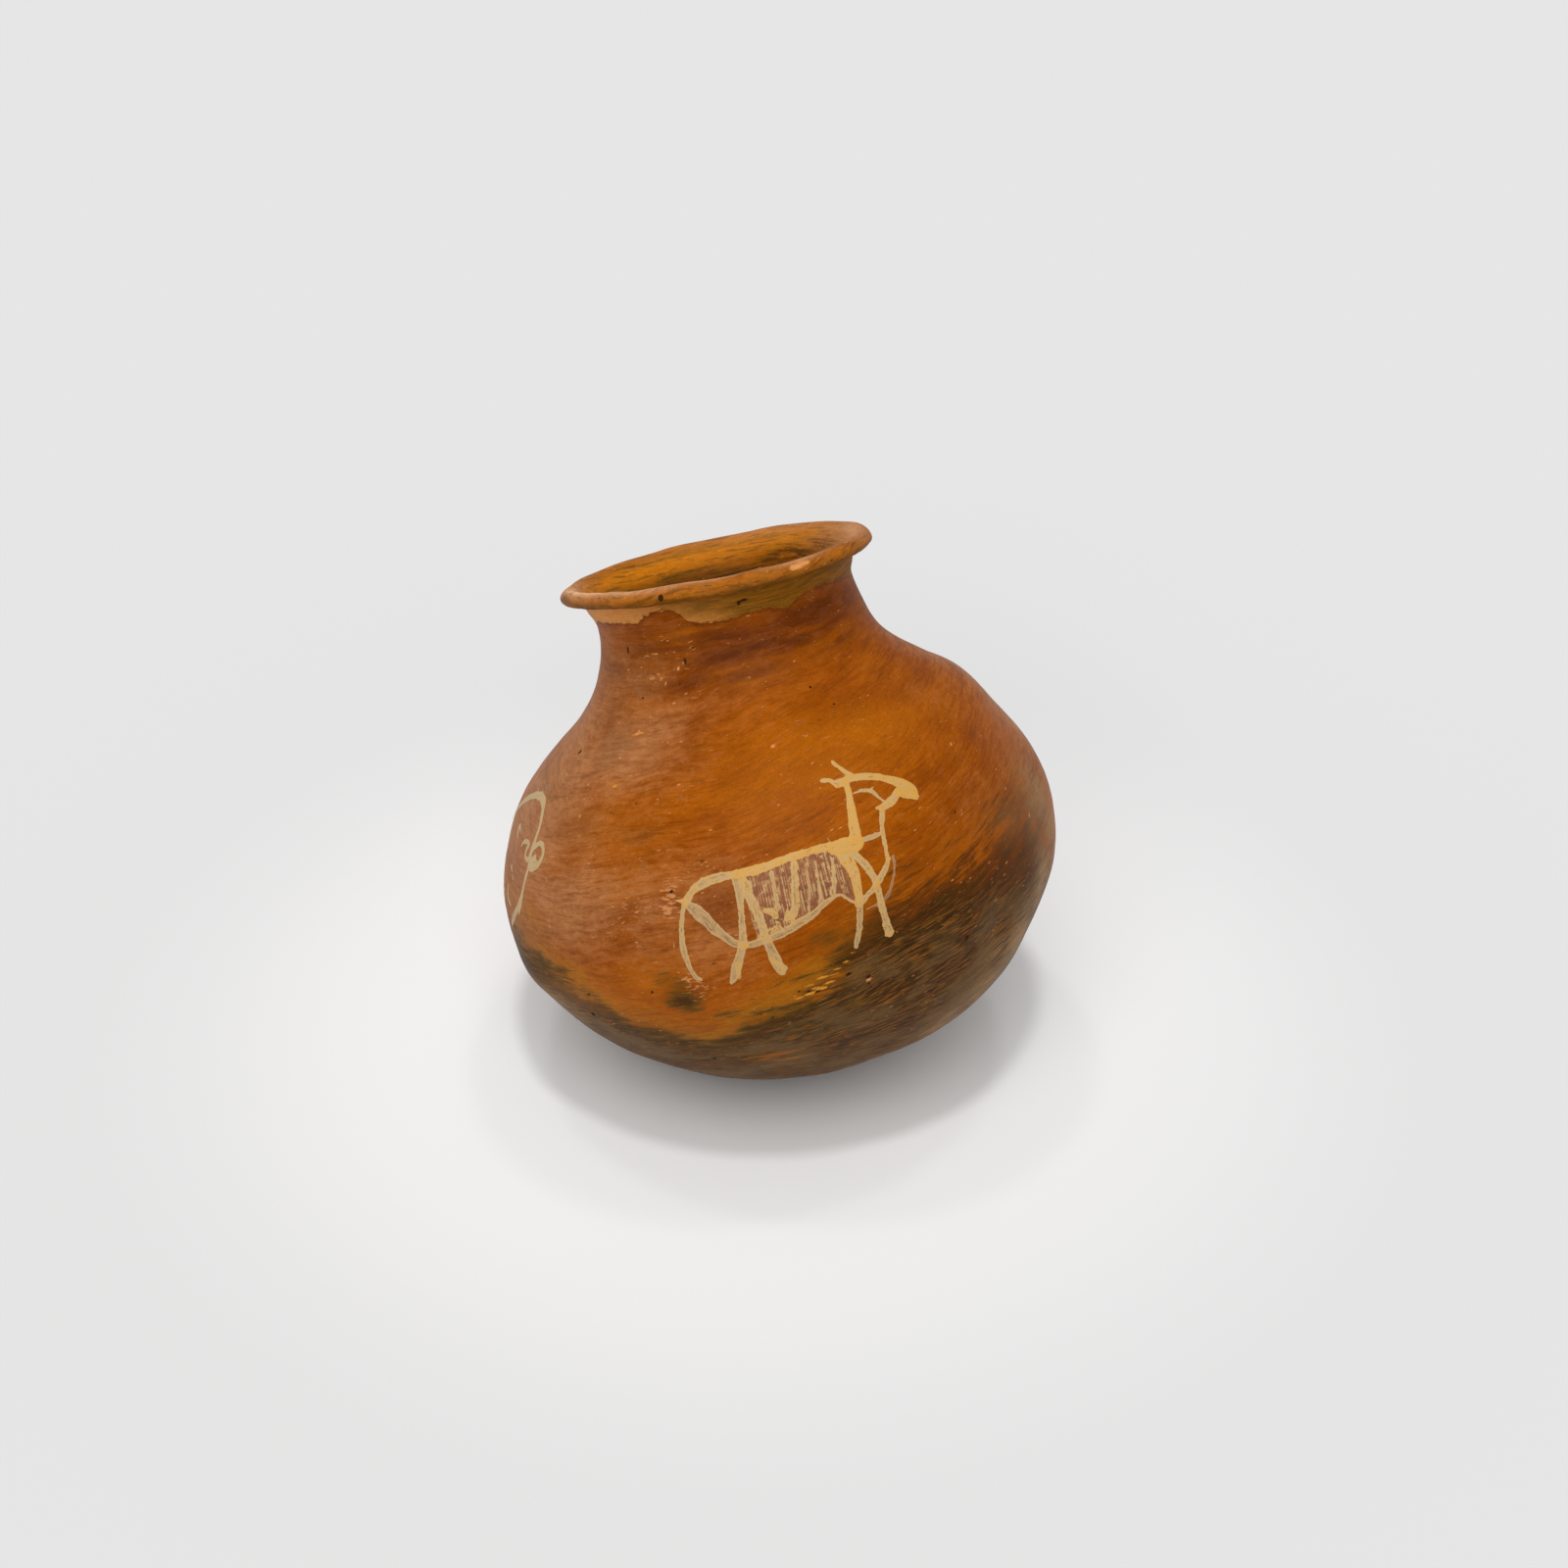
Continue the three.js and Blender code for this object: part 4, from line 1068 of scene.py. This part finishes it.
class Recipe:
    """A node tree, written one node at a time."""

    def __init__(self, tree):
        self.tree = tree

    def add(self, kind, feeds=(), output=0, **settings):
        """Adds a node with its inputs and settings, and gives one of its outputs."""
        node = self.tree.nodes.new(kind)
        for name, value in settings.items():
            setattr(node, name, value)
        for socket, value in dict(feeds).items():
            self.feed(node.inputs[socket], value)
        return node.outputs[output] if node.outputs else None

    def feed(self, socket, value):
        if isinstance(value, bpy.types.NodeSocket):
            self.tree.links.new(value, socket)
        else:
            socket.default_value = value

    def mark(self, name, output="Fac"):
        return self.add("ShaderNodeAttribute", output=output, attribute_name=name)

    def math(self, operation, *values):
        return self.add("ShaderNodeMath", enumerate(values), operation=operation)

    def times(self, *values):
        return self.math("MULTIPLY", *values)

    def total(self, *terms):
        """The sum of values, each given with what it is multiplied by."""
        result = 0
        for value, factor in terms:
            result = self.math("MULTIPLY_ADD", value, factor, result)
        return result

    def step(self, value, low, high, start=0, end=1):
        return self.add(
            "ShaderNodeMapRange", enumerate((value, low, high, start, end)),
            interpolation_type="SMOOTHSTEP")

    def mix(self, share, first, second, blend="MIX"):
        first, second = (
            colour if isinstance(colour, bpy.types.NodeSocket) else (*colour, 1)
            for colour in (first, second))
        return self.add(
            "ShaderNodeMix", {0: share, 6: first, 7: second}, 2, data_type="RGBA",
            blend_type=blend)

    def coats(self, colour, *coats):
        """A colour with coats laid over it, each given as its share and its colour."""
        for share, coat in coats:
            colour = self.mix(share, colour, coat)
        return colour

    def stretch(self, vector, sizes):
        """A vector measured in cells of the given sizes, or in cubes of one size."""
        cell = sizes if isinstance(sizes, tuple) else (sizes, sizes, sizes)
        return self.add("ShaderNodeVectorMath", {0: vector, 1: cell}, operation="DIVIDE")

    def lifted(self, vector, rise):
        """A vector moved up by a value that wanders."""
        move = self.add("ShaderNodeCombineXYZ", {2: rise})
        return self.add("ShaderNodeVectorMath", {0: vector, 1: move}, operation="ADD")

    def noise(self, vector, sizes, detail=2, roughness=0.5):
        return self.add("ShaderNodeTexNoise", {
            "Vector": self.stretch(vector, sizes), "Scale": 1, "Detail": detail,
            "Roughness": roughness})

    def seeds(self, vector, sizes):
        """How far each point lies from the nearest of some scattered seeds, in cells."""
        return self.add("ShaderNodeTexVoronoi", {
            "Vector": self.stretch(vector, sizes), "Scale": 1}, "Distance")

    def finish(self, shader, colour, roughness, height):
        """Feeds a shader its colour, its roughness and its relief in millimetres."""
        bump = self.add("ShaderNodeBump", {"Height": height, "Distance": MM, "Strength": 1})
        for name, value in (("Base Color", colour), ("Roughness", roughness), ("Normal", bump)):
            self.feed(shader.inputs[name], value)


def clay_group(clay):
    """Burnished, smoke-clouded clay: its colour, roughness and the height of its marks in mm."""
    tree = bpy.data.node_groups.new("burnished_clay", "ShaderNodeTree")
    for name, kind in (("Color", "Color"), ("Roughness", "Float"), ("Height", "Float")):
        tree.interface.new_socket(name, in_out="OUTPUT", socket_type="NodeSocket" + kind)
    r = Recipe(tree)
    wall = r.mark("wall", "Vector")
    lay = r.lifted(wall, r.total((r.noise(wall, 64, 1), 14), (r.noise(wall, 15, 1), 2.2)))
    fine = r.noise(lay, (7, 7, 0.55), 2, 0.6)
    brushed = r.noise(lay, (13, 13, 1.7), 4, 0.64)
    streak = r.noise(lay, (34, 34, 4.5), 3, 0.6)
    broad = r.noise(lay, (48, 48, 11), 3, 0.55)
    patch = r.noise(wall, 25, 3, 0.6)
    dapple = r.noise(lay, (7, 7, 3.2), 3, 0.6)
    grain = r.noise(wall, 0.9, 3, 0.6)
    mottle = r.noise(wall, (2.8, 2.8, 2), 3, 0.65)
    smear = r.total((brushed, 1.2), (fine, 0.5))
    soot, near, pale, grey = (r.mark(name) for name in ("soot", "flush", "pale", "grey"))

    # Clean-fired clay, from red where the slip is thick to orange, with dark strokes and pale
    # strokes of dust that also paint the sheen on the left side and at the belly's edges.
    tone = r.total((broad, 0.9), (patch, 0.7), (brushed, 0.5), (dapple, 0.25))
    tone = r.step(tone, 0.94, 1.36)
    dust_and_sheen_share = r.total(
        (dapple, 0.3), (patch, 0.4), (brushed, 0.4), (mottle, 0.2), (r.mark("dust_and_sheen"), 0.5))
    plum = r.total((streak, 1), (smear, 0.5))
    colour = r.coats(
        r.mix(tone, clay.red, clay.orange),
        (r.step(brushed, 0.52, 0.74, 0, 0.42), clay.deep_red),
        (r.step(dust_and_sheen_share, 0.66, 1.35, 0, 0.8), clay.dust_and_sheen_colour),
        (r.times(r.mark("plum"), r.step(plum, 0.75, 1.05, 0.45, 1)),
         r.mix(r.step(dapple, 0.42, 0.62), clay.deep_red, clay.plum)))

    # The fire clouds, in streaks at their edges, with an ochre flush outside them.
    flush = r.times(r.step(soot, -2, -0.3, 0, 0.75), r.step(tone, 0, 0.8, 0.45, 1))
    burnt = r.math(
        "MAXIMUM", r.times(soot, 0.5), r.total((r.mark("smudge"), 0.85), (1, -0.5)))
    cloud = r.total(
        (burnt, 1), (brushed, 1.4), (streak, 0.8), (fine, 0.8), (dapple, 0.4), (mottle, 0.3),
        (1, -1.72))
    ember = r.coats(
        r.mix(r.step(smear, 0.8, 1), clay.soot, clay.haze),
        (r.step(fine, 0.53, 0.63, 0, 0.8), clay.ember),
        (r.times(r.step(patch, 0.42, 0.62, 0, 0.8), r.step(soot, 0.9, 1.9)), clay.ash))
    spark = r.total((r.mark("spark"), 1), (fine, 0.6), (grain, 0.5))
    colour = r.coats(
        colour,
        (r.times(flush, near), clay.flush),
        (r.step(cloud, -0.04, 0.34, 0, 0.88), r.mix(near, clay.smoke, clay.haze)),
        (r.step(cloud, 0.2, 0.7, 0, 0.94),
         r.mix(r.step(soot, 0.6, 1.5, 0.1, 0.9), clay.soot, ember)),
        (r.times(r.mark("flash"), r.step(smear, 1, 0.7, 0.4, 1)), clay.flame),
        (r.times(grey, r.step(mottle, 0.35, 0.6, 0.4, 0.9)), clay.ash),
        (r.step(spark, 1, 1.4, 0, 0.95), clay.spark),
        # Tan streaks at the fire cloud's edge, partly painted sheen along the belly's lower edges.
        (r.times(r.mark("tan_edge_and_sheen"), r.step(smear, 0.6, 0.95, 0.35, 0.95)), clay.tan_edge_and_sheen))

    # Bare ochre clay under the lip, and the lip and mouth themselves.
    ragged = r.total((r.mark("band"), 1), (r.noise(wall, (2.6, 2.6, 1.5), 4, 0.7), 4.2), (1, -2.1))
    bare = r.step(ragged, -0.3, 0.35)
    brink = r.times(r.step(ragged, -1.6, -0.5, 0, 0.6), r.step(ragged, 0.2, -0.3))
    # The band is pale on its left and darker olive to the right: partly the clay's own colour,
    # partly painted light on the left and painted shade under the lip on the right.
    band_smoke_and_shade = r.times(r.step(brushed, 0.36, 0.64, 0.15, 0.8), r.step(pale, 0.6, 0.1))
    ochre = r.coats(
        r.mix(r.times(pale, 0.95), clay.flush, clay.ochre),
        (r.step(smear, 0.7, 1.05, 0, 0.35), clay.flush),
        (band_smoke_and_shade, clay.haze),
        (r.step(fine, 0.56, 0.7, 0, 0.3), clay.haze))
    lip = r.coats(
        r.mix(r.step(dapple, 0.42, 0.62, 0, 0.45), clay.lip, clay.flame),
        (r.step(brushed, 0.44, 0.66, 0, 0.8), clay.red),
        (r.step(smear, 0.86, 1.02, 0, 0.6), clay.haze),
        # Painted shade: the lower face of the lip's roll is darkened towards the olive haze
        # colour.
        (r.times(r.mark("under"), r.step(dapple, 0.36, 0.58, 0.1, 0.75)), clay.haze),
        # Pale bare clay, partly a painted highlight on the top of the lip at the left.
        (r.times(pale, r.step(brushed, 0.3, 0.6, 1, 0.75)), clay.bare),
        (r.step(fine, 0.54, 0.68, 0, 0.5), clay.deep_red),
        (r.times(grey, r.step(dapple, 0.4, 0.6, 0.4, 0.9)), clay.ash))
    mouth = r.coats(
        r.mix(r.step(broad, 0.42, 0.62), clay.mouth, clay.flush),
        (r.step(brushed, 0.5, 0.66, 0, 0.7), clay.haze),
        (r.times(pale, 0.75), clay.scuff),
        (r.times(grey, r.step(smear, 0.7, 1, 0.25, 1)),
         r.mix(r.step(fine, 0.42, 0.58), clay.haze, clay.deep_red)),
        (r.step(smear, 0.92, 1.1, 0, 0.25), clay.deep_red))
    colour = r.coats(
        colour,
        (brink, clay.deep_red),
        (bare, ochre),
        (r.mark("lip"), lip),
        # Painted shade: a dark deep-red line in the crease under the lip's rolled edge.
        (r.times(r.mark("painted_shade_under_bead"), r.step(patch, 0.3, 0.6, 0.85, 0.35)), clay.deep_red),
        (r.mark("mouth"), mouth),
        # Painted shade: deeper inside the neck the mouth darkens towards deep red and soot.
        (r.times(r.mark("deep"), 0.9),
         r.mix(r.step(brushed, 0.4, 0.6), clay.deep_red, clay.soot)),
        # A painted highlight along the rim's inner edge, in the pale scuff colour.
        (r.times(r.mark("painted_rim_highlight"), r.step(smear, 0.7, 0.95, 0.75, 0.2)), clay.scuff))

    # Light and dark strokes of the burnishing stone.
    shade = r.total((brushed, 0.7), (fine, 0.7), (grain, 0.55), (mottle, 0.4))
    shade = r.step(shade, 0.86, 1.49, 0.77, 1.23)
    shade = r.add("ShaderNodeCombineColor", {0: shade, 1: shade, 2: shade})
    colour = r.mix(1, colour, shade, "MULTIPLY")

    # Hairlines of the brush, rubbed and speckled places, pores, pits and chips.
    sweep = r.lifted(wall, r.total((r.noise(wall, 47, 1), 30)))
    hair = r.noise(sweep, (6, 6, 0.5), 1, 0.5)
    rubbed = r.total(
        (r.noise(lay, (3, 3, 0.75), 2, 0.5), 1), (r.mark("scuff"), 0.17), (patch, 0.12),
        (1, -0.06))
    rubbed = r.step(rubbed, 0.70, 0.80)
    mote = r.total((r.noise(wall, 17, 2), 1), (r.mark("dust_and_sheen"), 0.06))
    mote = r.math("SUBTRACT", r.seeds(lay, (7.5, 7.5, 2.4)), r.step(mote, 0.42, 0.66, 0, 0.13))
    pore = r.step(r.noise(wall, 23, 1), 0.48, 0.75, 0, 0.075)
    pore = r.step(r.math("SUBTRACT", r.seeds(wall, 9), pore), 0, -0.02)
    pit = r.math("MAXIMUM", r.step(r.mark("pit"), 0.12, 0.45), pore)
    colour = r.coats(
        colour,
        (r.step(hair, 0.67, 0.76, 0, 0.4), clay.deep_red),
        (r.step(hair, 0.30, 0.22, 0, 0.3), clay.scuff),
        (r.times(rubbed, 0.75), clay.scuff),
        (r.times(r.step(mote, 0, -0.03), 0.7), clay.scuff),
        (r.mark("chip"), r.mix(grain, clay.ochre, clay.scuff)),
        (r.times(pit, 0.9), clay.pit))

    roughness = r.total(
        (fine, 0.2), (grain, 0.1), (bare, 0.1), (pit, 0.2), (1, clay.roughness - 0.15))
    height = r.total(
        (fine, clay.streak_height / MM), (brushed, 1.6 * clay.streak_height / MM),
        (grain, 0.03), (pore, -0.25), (rubbed, 0.02), (bare, -0.05))
    r.add("NodeGroupOutput", {0: colour, 1: roughness, 2: height})
    return tree


def new_material(name):
    """A new material, with a recipe for its nodes and with its shader."""
    material = bpy.data.materials.new(name)
    material.use_nodes = True
    return material, Recipe(material.node_tree), material.node_tree.nodes["Principled BSDF"]


def clay_material(name, group):
    material, r, shader = new_material(name)
    clay = r.add("ShaderNodeGroup", node_tree=group).node
    r.finish(shader, *(clay.outputs[part] for part in ("Color", "Roughness", "Height")))
    shader.inputs["Specular IOR Level"].default_value = 0.05
    return material


def slip_material(name, group, clay, thick, thin):
    """Cream slip, brushed thin enough in places for the clay to show."""
    material, r, shader = new_material(name)
    under = r.add("ShaderNodeGroup", output="Color", node_tree=group)
    wall, stroke = r.mark("wall", "Vector"), r.mark("stroke", "Vector")
    load, rim = r.mark("load"), r.mark("rim")
    bristle = r.noise(stroke, (5, 0.6, 1), 3, 0.6)
    gap = r.noise(stroke, (4, 0.9, 1), 2, 0.6)
    blotch = r.noise(wall, 2.4, 3, 0.6)
    grain = r.noise(wall, 0.7, 3, 0.65)
    body = r.total(
        (load, 1), (bristle, 0.75), (blotch, 0.45), (grain, 0.3), (rim, 0.16), (1, -0.8))
    hole = r.total((grain, 0.5), (bristle, 0.3), (blotch, 0.3), (load, -0.15))
    worn = r.total((gap, 1), (grain, 0.35), (blotch, 0.3), (rim, -0.3), (load, -0.42))
    colour = r.coats(
        under,
        (r.step(body, 0.1, 0.8, 0.16, 0.97), r.mix(r.step(body, 0.6, 1.05), thin, thick)),
        (r.step(hole, 0.46, 0.6, 0, 0.6), under),
        (r.step(worn, 0.5, 0.74, 0, 0.5), clay.deep_red))
    r.finish(
        shader, colour, r.total((grain, 0.2), (blotch, 0.1), (1, 0.45)),
        r.total((bristle, 0.05), (grain, 0.05), (blotch, 0.04)))
    return material


class JUG_OT_base_bowl(bpy.types.Operator):
    """Build the round bowl that the jug starts from"""

    bl_idname = "jug.base_bowl"
    bl_label = "Base bowl"

    def execute(self, context):
        bench = Bench(context)
        bench.throw_coil("base_bowl", 0, bench.skin.bowl_end, closed=False)
        return {"FINISHED"}


class JUG_OT_wall_coils(bpy.types.Operator):
    """Build the coils of the belly and the shoulder"""

    bl_idname = "jug.wall_coils"
    bl_label = "Wall coils"

    def execute(self, context):
        bench = Bench(context)
        bench.throw_coils("wall_coil", bench.skin.bowl_end, bench.skin.wall_end)
        return {"FINISHED"}


class JUG_OT_neck_coils(bpy.types.Operator):
    """Build the coils of the neck"""

    bl_idname = "jug.neck_coils"
    bl_label = "Neck coils"

    def execute(self, context):
        bench = Bench(context)
        bench.throw_coils("neck_coil", bench.skin.wall_end, bench.skin.neck_end)
        return {"FINISHED"}


class JUG_OT_rolled_lip(bpy.types.Operator):
    """Build the turned-out lip and its rolled edge"""

    bl_idname = "jug.rolled_lip"
    bl_label = "Rolled lip"

    def execute(self, context):
        bench = Bench(context)
        start = bench.skin.neck_end
        stations = stations_between(start, bench.skin.inside_of(start), LIP_STEP)
        bench.throw_course(
            "rolled_lip", stations, finish="burnished_lip")
        return {"FINISHED"}


class JUG_OT_front_animal(bpy.types.Operator):
    """Paint the horned animal on the front"""

    bl_idname = "jug.front_animal"
    bl_label = "Front animal"

    def execute(self, context):
        paint = context.scene.jug_paint
        Bench(context).paint("painted_animal_front", FRONT_FIGURE, paint.cream, paint.thin_cream)
        return {"FINISHED"}


class JUG_OT_left_animal(bpy.types.Operator):
    """Paint the animal on the left side"""

    bl_idname = "jug.left_animal"
    bl_label = "Left animal"

    def execute(self, context):
        cream = context.scene.jug_paint.side_cream
        Bench(context).paint("painted_animal_left", SIDE_FIGURE, cream, cream)
        return {"FINISHED"}


class JUG_OT_stage(bpy.types.Operator):
    """Set the floor, the light and the camera"""

    bl_idname = "jug.stage"
    bl_label = "Stage"

    def execute(self, context):
        scene = context.scene
        self.add_floor(scene)
        self.add_sky(scene)
        for name, setting in LAMPS.items():
            self.add_lamp(scene, name, *setting)
        camera = bpy.data.cameras.new("photo_camera")
        camera.sensor_width = 36
        camera.lens = scene.jug_stage.lens
        view = bpy.data.objects.new("photo_camera", camera)
        view.location = scene.jug_stage.camera_place
        view.rotation_euler = (math.pi / 2 - scene.jug_stage.camera_tilt, 0, 0)
        scene.collection.objects.link(view)
        scene.camera = view
        scene.view_settings.view_transform = "Standard"
        return {"FINISHED"}

    @staticmethod
    def add_floor(scene):
        plane = bmesh.new()
        bmesh.ops.create_grid(plane, x_segments=8, y_segments=8, size=FLOOR_REACH)
        mesh = bpy.data.meshes.new("pale_floor")
        plane.to_mesh(mesh)
        plane.free()
        material, r, shader = new_material("pale_floor")
        where = r.add("ShaderNodeTexCoord", output="Object")
        away = r.add("ShaderNodeVectorMath", {0: where}, "Value", operation="LENGTH")
        colour = scene.jug_stage.floor
        # Painted light: the floor is paler near the jug, which lifts the jug's shadow there.
        painted_floor_light = [min(1, channel * PAINTED_FLOOR_LIGHT) for channel in colour]
        r.feed(shader.inputs["Base Color"], r.mix(r.step(away, *PAINTED_LIGHT_SPAN), painted_floor_light, colour))
        shader.inputs["Roughness"].default_value = 0.9
        shader.inputs["Specular IOR Level"].default_value = 0.1
        mesh.materials.append(material)
        floor = bpy.data.objects.new("pale_floor", mesh)
        scene.collection.objects.link(floor)

    @staticmethod
    def add_sky(scene):
        world = bpy.data.worlds.new("studio")
        world.use_nodes = True
        r = Recipe(world.node_tree)
        background = world.node_tree.nodes["Background"]
        seen = r.add("ShaderNodeLightPath", output="Is Camera Ray")
        r.feed(background.inputs["Color"], r.mix(seen, (1, 1, 1), scene.jug_stage.backdrop))
        r.feed(background.inputs["Strength"], r.math("MAXIMUM", seen, scene.jug_stage.sky))
        scene.world = world

    @staticmethod
    def add_lamp(scene, name, azimuth, elevation, strength, angle):
        """A broad far lamp, given where it stands as seen from the jug."""
        sun = bpy.data.lights.new(name, "SUN")
        sun.energy = strength
        sun.angle = math.radians(angle)
        lamp = bpy.data.objects.new(name, sun)
        side, rise = math.radians(azimuth), math.radians(elevation)
        towards = Vector((
            math.sin(side) * math.cos(rise), -math.cos(side) * math.cos(rise), math.sin(rise)))
        lamp.rotation_euler = towards.to_track_quat("Z", "Y").to_euler()
        lamp.location = towards * 2
        scene.collection.objects.link(lamp)


class JUG_PT_pieces(bpy.types.Panel):
    """The jug's pieces and settings"""

    bl_label = "Water jug"
    bl_space_type = "VIEW_3D"
    bl_region_type = "UI"
    bl_category = "Jug"

    def draw(self, context):
        layout = self.layout
        layout.use_property_split = True
        for operator in PIECES:
            layout.operator(operator.bl_idname)
        for name, _ in SETTINGS:
            group = getattr(context.scene, name)
            box = layout.box()
            for setting in group.__annotations__:
                box.prop(group, setting)


PIECES = (
    JUG_OT_stage, JUG_OT_base_bowl, JUG_OT_wall_coils, JUG_OT_neck_coils, JUG_OT_rolled_lip,
    JUG_OT_front_animal, JUG_OT_left_animal,
)
SETTINGS = (
    ("jug_shape", JugShape), ("jug_stance", JugStance), ("jug_clay", JugClay),
    ("jug_paint", JugPaint), ("jug_stage", JugStage),
)
CLASSES = (*(kind for _, kind in SETTINGS), *PIECES, JUG_PT_pieces)


def register():
    for kind in CLASSES:
        bpy.utils.register_class(kind)
    for name, kind in SETTINGS:
        setattr(bpy.types.Scene, name, PointerProperty(type=kind))


def unregister():
    for name, _ in SETTINGS:
        delattr(bpy.types.Scene, name)
    for kind in reversed(CLASSES):
        bpy.utils.unregister_class(kind)


def main():
    register()
    bpy.ops.jug.stage()
    bpy.ops.jug.base_bowl()
    bpy.ops.jug.wall_coils()
    bpy.ops.jug.neck_coils()
    bpy.ops.jug.rolled_lip()
    bpy.ops.jug.front_animal()
    bpy.ops.jug.left_animal()


if __name__ == "__main__":
    main()
